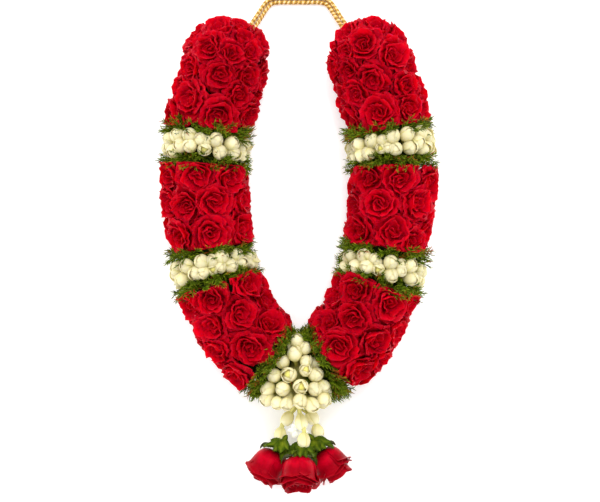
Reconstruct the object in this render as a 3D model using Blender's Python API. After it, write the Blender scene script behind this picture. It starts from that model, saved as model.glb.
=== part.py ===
"""Rose garland laid on a flat surface with its front up, in metres, +Z up.

Two limbs hang from a doubled gold cord and meet in a pendant. Each limb is a string of open roses,
parted by two bands of tuberose buds between fringes of needle leaf. The pendant is a cone of buds,
below it three short strands of buds, an open floret and three large roses that hang mouth down.
The origin is under the middle of the garland's flowers, and +Y points to the cord.
"""

import math
import random

import bmesh
import bpy
from mathutils import Vector

MM = 0.001
TURN = 2 * math.pi
UP = Vector((0, 0, 1))
GAP = 0.35 * MM

# The string that everything is threaded on, and the holes it runs in
STRING_RADIUS = 3.2 * MM
BORE_RADIUS = 4.1 * MM
BORE_SIDES = 5
STATION_PITCH = 20 * MM

# The left limb's line, from the middle of the pendant up to the top dome. The right limb mirrors it.
DOME_CENTRE = Vector((-93, 253, 47)) * MM
CORD_EXIT = Vector((-65.6, 291.2, 27.7)) * MM
LIMB_POINTS = [
    Vector(point) * MM
    for point in (
        (0, -146, 48),
        (-37, -132, 48),
        (-71, -99, 50),
        (-92, -62, 51),
        (-107, -25, 51),
        (-114, 15, 51),
        (-120, 59, 51),
        (-122, 98, 51),
        (-118.5, 150, 51),
        (-112.5, 189, 50),
        (-102, 221, 49),
    )
]

# Stations along the limb's line, from the middle of the pendant
LEAF_END_AT = 20 * MM
LIMB_END_AT = 40 * MM
LOWER_BAND_AT = 156 * MM
MIDDLE_ROSES_AT = 207 * MM
UPPER_BAND_AT = 311 * MM
TOP_ROSES_AT = 367 * MM
LOWER_FRINGES = (11 * MM, 12 * MM)
UPPER_FRINGES = (11 * MM, 14 * MM)

# Roses on the limbs
CORE_RADIUS = 42 * MM
BLOOMS_ROUND = 7
BLOOM_REACH = 22.5 * MM
PETALS = 5
LOWER_ROWS = 4
MIDDLE_ROWS = 3
TOP_ROWS = 4
DOME_RADIUS = 39 * MM
DOME_BLOOM_RADIUS = 46 * MM
DOME_CLOSE = math.radians(66)
ROSE_PHASE = math.radians(16)
ROSE_PHASE_STEP = math.radians(9)

# An open rose, as (share of its cell, height): petal middles, the gaps between, groove, lip, pit
BLOOM_PETALS = ((1.0, 11.5 * MM), (0.90, 9.0 * MM))
BLOOM_GROOVE = ((0.60, 7.5 * MM),)
BLOOM_LIP = ((0.47, 16.0 * MM),)
BLOOM_PIT = 8.5 * MM
RELIEF = 8 * MM

# Tuberose buds and needle leaf on the limbs
BAND_RADIUS = 41 * MM
BUDS_ROUND = 14
BUD_ROWS = 2
BUD_HEIGHT = 17 * MM
LEAF_RADIUS = 44 * MM
LEAF_COLUMNS = 16
LEAF_PITCH = 6.5 * MM
LEAF_LENGTHS = (9 * MM, 21 * MM)

# Pendant: a cone of buds that fills the angle between the two limb ends
CONE_APEX = Vector((0, -113.5, 52)) * MM
CONE_SLOPE = math.tan(math.radians(33.3))
CONE_LENGTH = 88 * MM
CONE_APEX_DEPTH = 34 * MM
CONE_FOOT_DEPTH = 50 * MM
CONE_SIDES = 10
CONE_CORE_DEPTHS = (6, 24, 46, 64, 74)
CONE_CORE_INSET = 9 * MM
CONE_FOOT_ROUND = 16 * MM
CONE_ROWS = 5
CONE_BUD_SPACING = 1.25
BUD_LENGTH = 20 * MM
BUD_WIDTH = 16.5 * MM
BUD_SIDES = 5
PENDANT_BORE_RADIUS = 3.2 * MM
PENDANT_STRING_RADIUS = 2.2 * MM
PENDANT_STRING_END = -194.3 * MM

# Tassel strands: each one's start, the way it leaves it, and the middles of its two buds
STALK_RADIUS = 2.2 * MM
STALK_STATIONS = 8
STRANDS = {
    "left": ((-3, -194.8, 46), (-4.5, -201, 44), (-14.4, -212.2, 35), (-23.8, -233.6, 31)),
    "centre": ((0, -194.8, 51), (1, -201, 53), (3.5, -215.7, 56), (7, -239.5, 57)),
    "right": ((3, -194.8, 46), (5, -201, 44), (17.5, -210.7, 35), (24.5, -229.4, 31)),
}
STRAND_BUD_LENGTH = 19 * MM
STRAND_BUD_WIDTH = 16 * MM

# Open floret: the tip of its tube, the middle of its star and the star's span
FLORET_TUBE = Vector((0, -194.9, 42.3)) * MM
FLORET_MIDDLE = Vector((-0.5, -228, 39)) * MM
FLORET_FACING = Vector((-0.15, -0.55, 0.82)).normalized()
FLORET_REACH = 13 * MM
FLORET_PETALS = 6

# Hanging roses: where the sepals hold each one, where its mouth points, and its scale
CALYX_TOP = 9.6
HANGING_ROSES = {
    "left": ((-28, -257, 23.6), (-0.5, -0.86, 0.03), 1.07),
    "centre": ((1.5, -263, 48), (0, -0.92, 0.38), 1.08),
    "right": ((29, -256, 23.6), (0.62, -0.78, 0.03), 1.05),
}

# Doubled gold neck cord
CORD_DIAMETER = 11.7 * MM
CORD_INSIDE = 25 * MM
CORD_LIE = 6.3
CORD_MIDDLE = [
    Vector(point) * MM
    for point in (
        (-54.5, 308, 19),
        (-45, 323.5, 10.5),
        (-37.5, 332.2, 7.2),
        (-26, 334.8, CORD_LIE),
        (-10, 334.8, CORD_LIE),
    )
]
CORD_POINT_PITCH = 2 * CORD_DIAMETER

RED = (0.38, 0.002, 0.008)
DEEP_RED = (0.42, 0.003, 0.012)
CREAM = (0.80, 0.70, 0.44)
NEEDLE_GREEN = (0.05, 0.11, 0.008)
SEPAL_GREEN = (0.09, 0.17, 0.015)
COTTON = (0.60, 0.52, 0.36)
GOLD = (0.60, 0.38, 0.10)


def mirrored(point):
    return Vector((-point.x, point.y, point.z))


def mix(a, b, share):
    return a + (b - a) * share


class Route:
    """A smooth curve through hand-chosen points, read by the distance from its first point.

    Beyond its ends it runs straight on. The point before the first one sets how it starts.
    """

    STEPS = 24

    def __init__(self, points, before=None):
        before = before or 2 * points[0] - points[1]
        after = 2 * points[-1] - points[-2]
        padded = [before, *points, after]
        self.line = []
        for a, b, c, d in zip(padded, padded[1:], padded[2:], padded[3:]):
            for step in range(self.STEPS):
                t = step / self.STEPS
                bend = (2 * a - 5 * b + 4 * c - d) * t * t
                twist = (3 * b - a - 3 * c + d) * t ** 3
                self.line.append(0.5 * (2 * b + (c - a) * t + bend + twist))
        self.line.append(points[-1].copy())
        self.marks = [0.0]
        for a, b in zip(self.line, self.line[1:]):
            self.marks.append(self.marks[-1] + (b - a).length)
        self.length = self.marks[-1]

    def point(self, distance):
        at = 0
        while at < len(self.line) - 2 and self.marks[at + 1] < distance:
            at += 1
        share = (distance - self.marks[at]) / (self.marks[at + 1] - self.marks[at])
        return self.line[at].lerp(self.line[at + 1], share)

    def frame(self, distance):
        """The point, the way on, the way to the right as seen from the front, and the way up."""
        step = 2 * MM
        along = (self.point(distance + step) - self.point(distance - step)).normalized()
        up = (UP - along * along.z).normalized()
        return self.point(distance), along, along.cross(up), up

    def distance_of(self, point):
        return min(zip(self.line, self.marks), key=lambda pair: (pair[0] - point).length)[1]


CORD_WAY = (CORD_EXIT - DOME_CENTRE).normalized()
LIMB = Route(
    [*LIMB_POINTS, DOME_CENTRE, CORD_EXIT - CORD_WAY * CORD_INSIDE, CORD_EXIT],
    before=mirrored(LIMB_POINTS[1]),
)
DOME_AT = LIMB.distance_of(DOME_CENTRE)
CORD_START_AT = LIMB.distance_of(CORD_EXIT - CORD_WAY * CORD_INSIDE)
DOME_END_AT = DOME_AT + DOME_RADIUS * math.sin(DOME_CLOSE)
TOP_END = DOME_AT + DOME_BLOOM_RADIUS * DOME_CLOSE


class Shell:
    """Vertices and triangles gathered for one closed mesh."""

    def __init__(self):
        self.points = []
        self.faces = []

    def add(self, point):
        self.points.append(point)
        return len(self.points) - 1

    def bridge(self, outer, inner):
        """Triangles between two rings round one centre, lists of (angle, vertex) that go round alike."""
        near = min(range(len(inner)), key=lambda k: abs(wrapped(inner[k][0] - outer[0][0])))
        inner = inner[near:] + inner[:near]
        shift = wrapped(inner[0][0] - outer[0][0])
        outer_at = [(angle - outer[0][0]) % TURN for angle, _ in outer] + [TURN]
        inner_at = [shift + (angle - inner[0][0]) % TURN for angle, _ in inner] + [TURN + shift]
        i = j = 0
        while i < len(outer) or j < len(inner):
            a = outer[i % len(outer)][1]
            b = inner[j % len(inner)][1]
            if j == len(inner) or (i < len(outer) and outer_at[i + 1] <= inner_at[j + 1]):
                i += 1
                self.faces.append((a, outer[i % len(outer)][1], b))
            else:
                j += 1
                self.faces.append((a, inner[j % len(inner)][1], b))

    def fan(self, ring, tip):
        for (_, a), (_, b) in zip(ring, ring[1:] + ring[:1]):
            self.faces.append((a, b, tip))

    def circle(self, centre, across, up, radius, sides):
        """A ring of vertices whose angles run from up towards across."""
        ring = []
        for side in range(sides):
            angle = side * TURN / sides
            out = across * math.sin(angle) + up * math.cos(angle)
            ring.append((angle, self.add(centre + out * radius)))
        return ring

    def object(self, name, collection, finish, side=-1):
        """The finished object: side 1 is mirrored to the right-hand limb."""
        bm = bmesh.new()
        for point in self.points:
            bm.verts.new(mirrored(point) if side > 0 else point)
        bm.verts.ensure_lookup_table()
        for face in self.faces:
            bm.faces.new([bm.verts[index] for index in face])
        bmesh.ops.recalc_face_normals(bm, faces=bm.faces)
        return object_of(bm, name, collection, finish)


def wrapped(angle):
    return (angle + math.pi) % TURN - math.pi


def object_of(bm, name, collection, finish):
    mesh = bpy.data.meshes.new(name)
    bm.to_mesh(mesh)
    bm.free()
    mesh.shade_smooth()
    mesh.set_sharp_from_angle(angle=math.radians(50))
    mesh.materials.append(finish)
    made = bpy.data.objects.new(name, mesh)
    collection.objects.link(made)
    return made


def material(name, colour, roughness, metallic=0.0):
    made = bpy.data.materials.new(name)
    made.use_nodes = True
    shader = made.node_tree.nodes["Principled BSDF"]
    shader.inputs["Base Color"].default_value = (*colour, 1)
    shader.inputs["Roughness"].default_value = roughness
    shader.inputs["Metallic"].default_value = metallic
    return made


def pressed(point, centre):
    """A point that would lie below the surface is drawn in towards the centre until it rests on it."""
    if point.z >= 0:
        return point
    return mix(centre, point, centre.z / (centre.z - point.z))


def on_limb(radius):
    """Gives the function that turns distance along, angle round and height out into a point."""

    def place(distance, angle, height):
        lean = max(0.0, distance - DOME_AT) / DOME_BLOOM_RADIUS
        if lean:
            distance = DOME_AT + DOME_RADIUS * math.sin(lean)
        core = DOME_RADIUS * math.cos(lean) if lean else core_radius(distance, radius)
        centre, along, across, up = LIMB.frame(distance)
        out = across * math.sin(angle) + up * math.cos(angle)
        point = centre + out * (core + height * math.cos(lean)) + along * height * math.sin(lean)
        return pressed(point, centre)

    return place


def core_radius(distance, radius):
    """The core narrows a little as it nears the dome at the top."""
    share = min(1.0, max(0.0, (distance - TOP_ROSES_AT) / (DOME_AT - TOP_ROSES_AT)))
    return radius if radius > CORE_RADIUS else mix(radius, min(radius, DOME_RADIUS), share)


def stations(start, end):
    """Distances along the limb's line from start to end, the ones between shared by string and holes."""
    first = math.ceil((start + STATION_PITCH / 4) / STATION_PITCH)
    last = math.floor((end - STATION_PITCH / 4) / STATION_PITCH)
    return [start, *(k * STATION_PITCH for k in range(first, last + 1)), end]


def bore_rings(shell, start, end, extra=()):
    """Rings of the hole for the string, then the wider rings in extra."""
    rings = []
    for distance, radius in [*((at, BORE_RADIUS) for at in stations(start, end)), *extra]:
        centre, _, across, up = LIMB.frame(distance)
        rings.append(shell.circle(centre, across, up, radius, BORE_SIDES))
    return rings


def close_tube(shell, low, high, bore):
    """Joins the two end rings of an outer skin through the hole inside it."""
    shell.bridge(low, bore[0])
    shell.bridge(high, bore[-1])
    for a, b in zip(bore, bore[1:]):
        shell.bridge(a, b)


def cell_reach(corners, angle):
    """How far a ray from a cell's middle runs to its outline."""
    way = (math.cos(angle), math.sin(angle))
    best = math.inf
    for (ax, ay), (bx, by) in zip(corners, corners[1:] + corners[:1]):
        ex, ey = bx - ax, by - ay
        cross = way[0] * ey - way[1] * ex
        if abs(cross) < 1e-12:
            continue
        ray = (ax * ey - ay * ex) / cross
        share = (ax * way[1] - ay * way[0]) / cross
        if ray > 0 and -1e-9 <= share <= 1 + 1e-9:
            best = min(best, ray)
    return best


def raise_bloom(shell, spot, corners, rng):
    """An open rose in its cell: flared outer petals, a groove, the lip of the inner cup and its pit."""
    outline = [corner[0] for corner in corners]
    edge = [(math.atan2(y, x), index) for (x, y), index in corners]
    spin = rng.uniform(0, TURN)
    lean = (rng.uniform(-0.12, 0.12), rng.uniform(-0.12, 0.12))
    swell = rng.uniform(0.92, 1.05)

    def ring(count, shape, turn):
        made = []
        for k in range(count):
            share, rise = shape[k % len(shape)]
            angle = spin + (k + turn) * TURN / count
            reach = share * min(0.95 * cell_reach(outline, angle), BLOOM_REACH)
            x, y = reach * math.cos(angle), reach * math.sin(angle)
            height = rise * swell + x * lean[0] + y * lean[1] + rng.uniform(-0.6, 0.6) * MM
            made.append((angle, shell.add(spot(x, y, height))))
        return made

    petals = ring(2 * PETALS, BLOOM_PETALS, 0)
    groove = ring(PETALS, BLOOM_GROOVE, 0.5)
    lip = ring(PETALS, BLOOM_LIP, 0)
    pit = shell.add(spot(0, 0, BLOOM_PIT))
    shell.bridge(edge, petals)
    shell.bridge(petals, groove)
    shell.bridge(groove, lip)
    shell.fan(lip, pit)


def raise_bud(shell, spot, corners, rng):
    """A plump bud in its cell, tipped a little to one side."""
    outline = [corner[0] for corner in corners]
    below = [(math.atan2(y, x), index) for (x, y), index in corners]
    spin = rng.uniform(0, TURN)
    tip_x, tip_y = rng.uniform(-2.5, 2.5) * MM, rng.uniform(-2.0, 2.0) * MM
    tall = BUD_HEIGHT * rng.uniform(0.86, 1.04)
    for share, rise, tip in ((0.90, 0.40, 0.2), (0.62, 0.82, 0.8)):
        ring = []
        for k in range(BUD_SIDES):
            angle = spin + k * TURN / BUD_SIDES
            reach = share * min(0.97 * cell_reach(outline, angle), 0.58 * BUD_WIDTH)
            x, y = reach * math.cos(angle) + tip_x * tip, reach * math.sin(angle) + tip_y * tip
            ring.append((angle, shell.add(spot(x, y, tall * rise))))
        shell.bridge(below, ring)
        below = ring
    shell.fan(below, shell.add(spot(tip_x, tip_y, tall)))


def lattice(shell, place, ends, rows, count, phase, radius, relief, rng):
    """Staggered rows of six-cornered cells round a limb, each raised by relief. Gives the end rings."""
    step = math.pi / count
    pitch = (ends[1] - ends[0]) / rows
    width = 2 * step * radius
    reach = pitch / 2 + width ** 2 / (8 * pitch)
    shake = 0.06 * pitch
    rings = []
    for level in range(rows + 1):
        ring = []
        for column in range(2 * count):
            angle = phase + column * step
            distance = ends[0] + level * pitch
            height = 0.0
            if 0 < level < rows:
                under = (column - level) % 2 == 0
                distance += (pitch / 2 - reach) if under else (reach - pitch / 2)
                distance += rng.uniform(-shake, shake)
                angle += rng.uniform(-0.12, 0.12) * step
                height = rng.uniform(-2.0, 0.5) * MM
            ring.append((angle, distance, shell.add(place(distance, angle, height))))
        rings.append(ring)
    for level in range(rows):
        middle = ends[0] + (level + 0.5) * pitch
        for column in range(level % 2, 2 * count, 2):
            turned = phase + column * step
            after = (column + 1) % (2 * count)
            low, high = rings[level], rings[level + 1]
            around = (low[column - 1], low[column], low[after], high[after], high[column], high[column - 1])
            corners = [((wrapped(a - turned) * radius, d - middle), index) for a, d, index in around]
            cx = rng.uniform(-0.05, 0.05) * width
            cy = rng.uniform(-0.05, 0.05) * pitch

            def spot(x, y, height, turned=turned + cx / radius, middle=middle + cy):
                return place(middle + y, turned + x / radius, height)

            corners = [((x - cx, y - cy), index) for (x, y), index in corners]
            relief(shell, spot, corners, rng)
    return [[(angle, index) for angle, _, index in ring] for ring in (rings[0], rings[-1])]


def limb_section(name, ends, rows, count, core, reach, phase, relief, collection, finish, side, seed):
    shell = Shell()
    rng = random.Random(seed)
    low, high = lattice(shell, on_limb(core), ends, rows, count, phase, reach, relief, rng)
    extra = ()
    bore_end = ends[1]
    if ends[1] > DOME_AT:
        bore_end = CORD_START_AT - GAP
        wide = (CORD_DIAMETER / 2 + 1.5 * GAP) / math.cos(math.pi / BORE_SIDES)
        extra = ((CORD_START_AT - GAP / 2, wide), (DOME_END_AT, wide))
    close_tube(shell, low, high, bore_rings(shell, ends[0], bore_end, extra))
    return shell.object(name, collection, finish, side)


def spikes(shell, rings, place, rng):
    """Raises a needle tuft from every triangle between neighbouring rings of (angle, distance, vertex)."""
    for low, high in zip(rings, rings[1:]):
        count = len(low)
        for k in range(count):
            after = (k + 1) % count
            shifted = low[0][0] < high[0][0]
            tops = (high[k], low[k], low[after]) if shifted else (low[k], high[k], high[after])
            others = (high[k], low[after], high[after]) if shifted else (low[k], high[after], low[after])
            for corners in (tops, others):
                base = corners[0][0]
                angle = base + sum(wrapped(corner[0] - base) for corner in corners) / 3
                distance = sum(corner[1] for corner in corners) / 3
                angle += rng.uniform(-0.25, 0.25) * TURN / count
                distance += rng.uniform(-0.25, 0.25) * LEAF_PITCH
                tall = rng.uniform(*LEAF_LENGTHS)
                tip = shell.add(place(distance, angle, tall))
                for a, b in zip(corners, corners[1:] + corners[:1]):
                    shell.faces.append((a[2], b[2], tip))


def leaf_rings(shell, place, ends, strips):
    """Even rings of vertices, every second one turned by half a step."""
    rings = []
    for level in range(strips + 1):
        distance = mix(ends[0], ends[1], level / strips)
        ring = []
        for column in range(LEAF_COLUMNS):
            angle = (column + 0.5 * (level % 2)) * TURN / LEAF_COLUMNS
            ring.append((angle, distance, shell.add(place(distance, angle, 0))))
        rings.append(ring)
    return rings


def leaf_fringe(name, ends, collection, finish, side, seed):
    """A collar of needle leaf between roses and buds."""
    shell = Shell()
    place = on_limb(LEAF_RADIUS)
    strips = max(2, round((ends[1] - ends[0]) / LEAF_PITCH))
    rings = leaf_rings(shell, place, ends, strips)
    spikes(shell, rings, place, random.Random(seed))
    low, high = ([(angle, index) for angle, _, index in ring] for ring in (rings[0], rings[-1]))
    close_tube(shell, low, high, bore_rings(shell, *ends))
    return shell.object(name, collection, finish, side)


def leaf_end(name, collection, finish, side, seed):
    """The thicker collar of leaf on a limb's lower end, cut off at the garland's middle plane."""
    shell = Shell()
    centre, along, across, up = LIMB.frame(LIMB_END_AT)
    depth = LIMB_END_AT - LEAF_END_AT
    ends = (-depth, -GAP)

    def place(distance, angle, height):
        out = across * math.sin(angle) + up * math.cos(angle)
        point = centre + along * distance + out * (LEAF_RADIUS + 2 * MM + height)
        beyond = point.x + GAP
        if beyond > 0:
            point -= along * (beyond / along.x)
        return pressed(point, centre + along * distance)

    rings = leaf_rings(shell, place, ends, 3)
    spikes(shell, rings, place, random.Random(seed))
    bore = []
    for distance in ends:
        middle = route_at_plane(centre + along * distance, along)
        bore.append(shell.circle(middle, across, up, BORE_RADIUS, BORE_SIDES))
    low, high = ([(angle, index) for angle, _, index in ring] for ring in (rings[0], rings[-1]))
    close_tube(shell, low, high, bore)
    return shell.object(name, collection, finish, side)


def route_at_plane(origin, normal):
    """Where the limb's line crosses a plane near the garland's middle."""
    low, high = 0.0, 2 * LIMB_END_AT
    for _ in range(40):
        middle = (low + high) / 2
        if (LIMB.point(middle) - origin).dot(normal) < 0:
            low = middle
        else:
            high = middle
    return LIMB.point(middle)


def tube(name, rings, collection, finish):
    """A closed tube through rings of points, each ring in the same order."""
    shell = Shell()
    laid = [[(k * TURN / len(ring), shell.add(point)) for k, point in enumerate(ring)] for ring in rings]
    for a, b in zip(laid, laid[1:]):
        shell.bridge(a, b)
    for ring in (laid[0], laid[-1]):
        middle = sum((shell.points[index] for _, index in ring), Vector()) / len(ring)
        shell.fan(ring, shell.add(middle))
    return shell.object(name, collection, finish)


def ring_points(centre, across, up, radius, sides):
    angles = [side * TURN / sides for side in range(sides)]
    return [centre + (across * math.sin(a) + up * math.cos(a)) * radius for a in angles]


def through_middle(reach, radius):
    """Rings along the string from one limb, through the pendant's middle, to the other limb."""
    half = []
    for distance in stations(0.0, reach):
        centre, _, across, up = LIMB.frame(distance)
        half.append(ring_points(centre, across, up, radius, BORE_SIDES))
    for point in half[0]:
        point.x = 0.0
    other = [[mirrored(point) for point in ring] for ring in half[1:]]
    return half[:0:-1] + [half[0]] + other


def core_string(collection, finish):
    """The one string that runs down one limb, through the pendant and up the other."""
    rings = through_middle(CORD_START_AT - 2 * GAP, STRING_RADIUS)
    return tube("core_string", rings, collection, finish)


def join(target, collection_of_tools, operation, solver="EXACT"):
    """One Boolean on a collection, applied, after which the collection's objects are removed."""
    boolean = target.modifiers.new(operation, "BOOLEAN")
    boolean.operation = operation
    boolean.solver = solver
    boolean.operand_type = "COLLECTION"
    boolean.collection = collection_of_tools
    depsgraph = bpy.context.evaluated_depsgraph_get()
    mesh = bpy.data.meshes.new_from_object(target.evaluated_get(depsgraph), depsgraph=depsgraph)
    target.modifiers.clear()
    target.data = mesh
    for used in list(collection_of_tools.objects):
        bpy.data.objects.remove(used, do_unlink=True)


def bud(name, middle, way, length, width, collection, finish, sides=BUD_SIDES):
    """A low bud, thickest below its middle, that points along way."""
    way = way.normalized()
    side = way.orthogonal().normalized()
    other = way.cross(side)
    shell = Shell()
    rings = []
    for along, share in ((-0.22, 0.94), (0.24, 0.82)):
        ring = ring_points(middle + way * along * length, side, other, share * width / 2, sides)
        rings.append([(k * TURN / sides, shell.add(point)) for k, point in enumerate(ring)])
    shell.bridge(*rings)
    shell.fan(rings[0], shell.add(middle - way * length / 2))
    shell.fan(rings[1], shell.add(middle + way * length / 2))
    return shell.object(name, collection, finish)


def cone_halves(depth):
    """Half the cone's width and half its thickness at a depth below its apex."""
    foot = min(1.0, (CONE_LENGTH - depth) / CONE_FOOT_ROUND)
    shrink = math.sqrt(max(0.0, 1 - (1 - foot) ** 2))
    share = depth / CONE_LENGTH
    return depth * CONE_SLOPE * shrink, mix(CONE_APEX_DEPTH, CONE_FOOT_DEPTH, share) * shrink


def cone_core(collection, finish):
    """The leaf and stems that the cone's buds are set in."""
    shell = Shell()
    rings = []
    for depth in CONE_CORE_DEPTHS:
        half_width, half_depth = cone_halves(depth * MM)
        centre = CONE_APEX - Vector((0, depth * MM, 0))
        ring = []
        for k in range(CONE_SIDES):
            angle = k * TURN / CONE_SIDES
            x = math.sin(angle) * max(1.5 * MM, half_width - CONE_CORE_INSET)
            z = math.cos(angle) * (half_depth - CONE_CORE_INSET)
            ring.append((angle, shell.add(centre + Vector((x, 0, z)))))
        rings.append(ring)
    for a, b in zip(rings, rings[1:]):
        shell.bridge(a, b)
    for ring in (rings[0], rings[-1]):
        middle = sum((shell.points[index] for _, index in ring), Vector()) / len(ring)
        shell.fan(ring, shell.add(middle))
    return shell.object("bud_cluster", collection, finish)


def clear_of_leaf(middle, way):
    """Moves a bud of the cone inwards until it clears the leaf on both limb ends."""
    centre, along, _, _ = LIMB.frame(LIMB_END_AT)
    face = centre - along * (LIMB_END_AT - LEAF_END_AT)
    for flip in (Vector.copy, mirrored):
        inward = flip(-along)
        lean = way.dot(inward)
        reach = math.hypot(BUD_LENGTH * lean, BUD_WIDTH * math.sqrt(1 - lean * lean)) / 2
        short = reach + 2 * GAP - (middle - flip(face)).dot(inward)
        if short > 0:
            middle = middle + inward * short
    return middle


def bud_cluster(collection, tools, finish):
    """The pendant's cone of buds, with holes for the limbs' string and for its own."""
    rng = random.Random(31)
    made = cone_core(collection, finish)
    for row in range(CONE_ROWS):
        share = (row + 0.6) / CONE_ROWS
        depth = 5 * MM + share * (CONE_LENGTH - 12 * MM)
        half_width, half_depth = cone_halves(depth)
        across = max(0.0, half_width - 0.62 * BUD_WIDTH)
        deep = half_depth - 0.45 * BUD_LENGTH
        around = math.pi * (3 * (across + deep) - math.sqrt((3 * across + deep) * (across + 3 * deep)))
        count = max(3, round(around / (CONE_BUD_SPACING * BUD_WIDTH)))
        for k in range(count):
            angle = (k + 0.5 * (row % 2)) * TURN / count + rng.uniform(-0.08, 0.08)
            middle = CONE_APEX + Vector((math.sin(angle) * across, -depth, math.cos(angle) * deep))
            droop = mix(0.15, 0.9, share)
            way = Vector((math.sin(angle) * 0.8, -droop, math.cos(angle))).normalized()
            middle = clear_of_leaf(middle, way)
            bud(f"cone_bud_{row}_{k}", middle, way, BUD_LENGTH, BUD_WIDTH, tools, finish)
    join(made, tools, "UNION")
    tube("cone_bore", through_middle(LIMB_END_AT, BORE_RADIUS), tools, finish)
    low = LIMB.point(0) - Vector((0, 1 * MM, 0))
    foot = low - Vector((0, CONE_LENGTH, 0))
    hole = [
        ring_points(point, Vector((1, 0, 0)), UP, PENDANT_BORE_RADIUS, BORE_SIDES)
        for point in (low, foot)
    ]
    tube("pendant_bore", hole, tools, finish)
    join(made, tools, "DIFFERENCE")
    return made


def pendant_string(collection, finish):
    """The short string from the limbs' string down to where the strands begin."""
    top = LIMB.point(0) - Vector((0, STRING_RADIUS + GAP, 0))
    foot = Vector((top.x, PENDANT_STRING_END, top.z))
    across = Vector((1, 0, 0))
    rings = [ring_points(p, across, UP, PENDANT_STRING_RADIUS, BORE_SIDES) for p in (top, foot)]
    return tube("pendant_string", rings, collection, finish)


def strand(hand, collection, tools, finish):
    """Two buds on a stalk, joined in one solid."""
    points = [Vector(point) * MM for point in STRANDS[hand]]
    at, way, scale = HANGING_ROSES[hand]
    way = Vector(way).normalized()
    end = Vector(at) * MM - way * (CALYX_TOP * scale * MM + 1.5 * GAP)
    route = Route([*points, end - way * 7 * MM, end])
    rings = []
    for k in range(STALK_STATIONS + 1):
        centre, _, across, up = route.frame(route.length * k / STALK_STATIONS)
        rings.append(ring_points(centre, across, up, STALK_RADIUS, 6))
    made = tube(f"bud_strand_{hand}", rings, collection, finish)
    for number, middle in enumerate(points[2:]):
        way = route.frame(route.distance_of(middle))[1]
        name = f"strand_bud_{hand}_{number}"
        bud(name, middle, way, STRAND_BUD_LENGTH, STRAND_BUD_WIDTH, tools, finish, sides=6)
    join(made, tools, "UNION")
    return made


def open_floret(collection, finish):
    """A star of six pointed petals on a slim tube."""
    way = FLORET_FACING
    side = way.orthogonal().normalized()
    other = way.cross(side)
    start = (FLORET_MIDDLE - FLORET_TUBE).normalized()
    rings = []
    for point, facing, tip, gap in (
        (FLORET_TUBE, start, 0.16, 0.16),
        (FLORET_MIDDLE - way * 5 * MM, way, 0.18, 0.18),
        (FLORET_MIDDLE - way * 1.2 * MM, way, 0.99, 0.36),
        (FLORET_MIDDLE + way * 0.6 * MM, way, 1.0, 0.38),
        (FLORET_MIDDLE + way * 0.2 * MM, way, 0.20, 0.20),
    ):
        ring = []
        for k in range(2 * FLORET_PETALS):
            angle = k * math.pi / FLORET_PETALS
            out = side * math.cos(angle) + other * math.sin(angle)
            out = (out - facing * out.dot(facing)).normalized()
            ring.append(point + out * FLORET_REACH * (gap if k % 2 else tip))
        rings.append(ring)
    return tube("open_floret", rings, collection, finish)


def petal_ring(along, radius, dip_along, dip_radius, turn=0):
    """Ten (along, radius) pairs round a rose: on a petal's middle and between two petals by turns."""
    pair = ((along, radius), (dip_along, dip_radius))
    return [pair[(k + turn) % 2] for k in range(2 * PETALS)]


def petalled(name, hand, rings, collection, finish, depth):
    """A closed form of petal rings round a hanging rose's axis, capped at both ends."""
    at, way, scale = HANGING_ROSES[hand]
    origin = Vector(at) * MM
    way = Vector(way).normalized()
    side = UP.cross(way).normalized()
    other = way.cross(side)
    middle = origin + way * depth * MM
    first, *between, last = rings
    shell = Shell()

    def spot(along, radius, angle):
        out = side * math.cos(angle) + other * math.sin(angle)
        point = origin + (way * along + out * radius) * scale * MM
        return shell.add(pressed(point, middle))

    laid = []
    for ring in between:
        angles = [k * TURN / len(ring) for k in range(len(ring))]
        laid.append([(angle, spot(*pair, angle)) for angle, pair in zip(angles, ring)])
    for a, b in zip(laid, laid[1:]):
        shell.bridge(a, b)
    shell.fan(laid[0], spot(first, 0, 0))
    shell.fan(laid[-1], spot(last, 0, 0))
    return shell.object(f"{name}_{hand}", collection, finish)


def hanging_rose(hand, collection, finish):
    """A large goblet rose, mouth down: its body, flared rim, inner cup and pit, in millimetres."""
    rings = (
        0.6,
        petal_ring(1.6, 8.0, 1.6, 7.4),
        petal_ring(7.0, 14.6, 7.0, 13.4),
        petal_ring(17.0, 18.6, 17.0, 17.4),
        petal_ring(29.0, 21.0, 30.0, 18.8),
        petal_ring(33.5, 25.2, 38.5, 20.0),
        petal_ring(34.0, 17.4, 33.0, 16.6, 1),
        petal_ring(41.5, 14.6, 39.0, 13.6, 1),
        petal_ring(33.0, 7.4, 33.0, 7.4),
        38.0,
    )
    return petalled("hanging_rose", hand, rings, collection, finish, 20)


def calyx(hand, collection, finish):
    """The green cap on a hanging rose's base, with five sepals that stand off its shoulder."""
    rings = (
        -CALYX_TOP,
        petal_ring(-CALYX_TOP, 2.6, -CALYX_TOP, 2.6),
        petal_ring(-4.6, 5.2, -4.6, 4.8),
        petal_ring(-0.8, 11.0, -0.2, 8.0),
        petal_ring(0.2, 20.0, 0.4, 10.6),
        petal_ring(1.2, 19.0, 1.1, 9.8),
        petal_ring(0.4, 8.6, 0.6, 7.6),
        0.0,
    )
    return petalled("calyx", hand, rings, collection, finish, 0)


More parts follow.
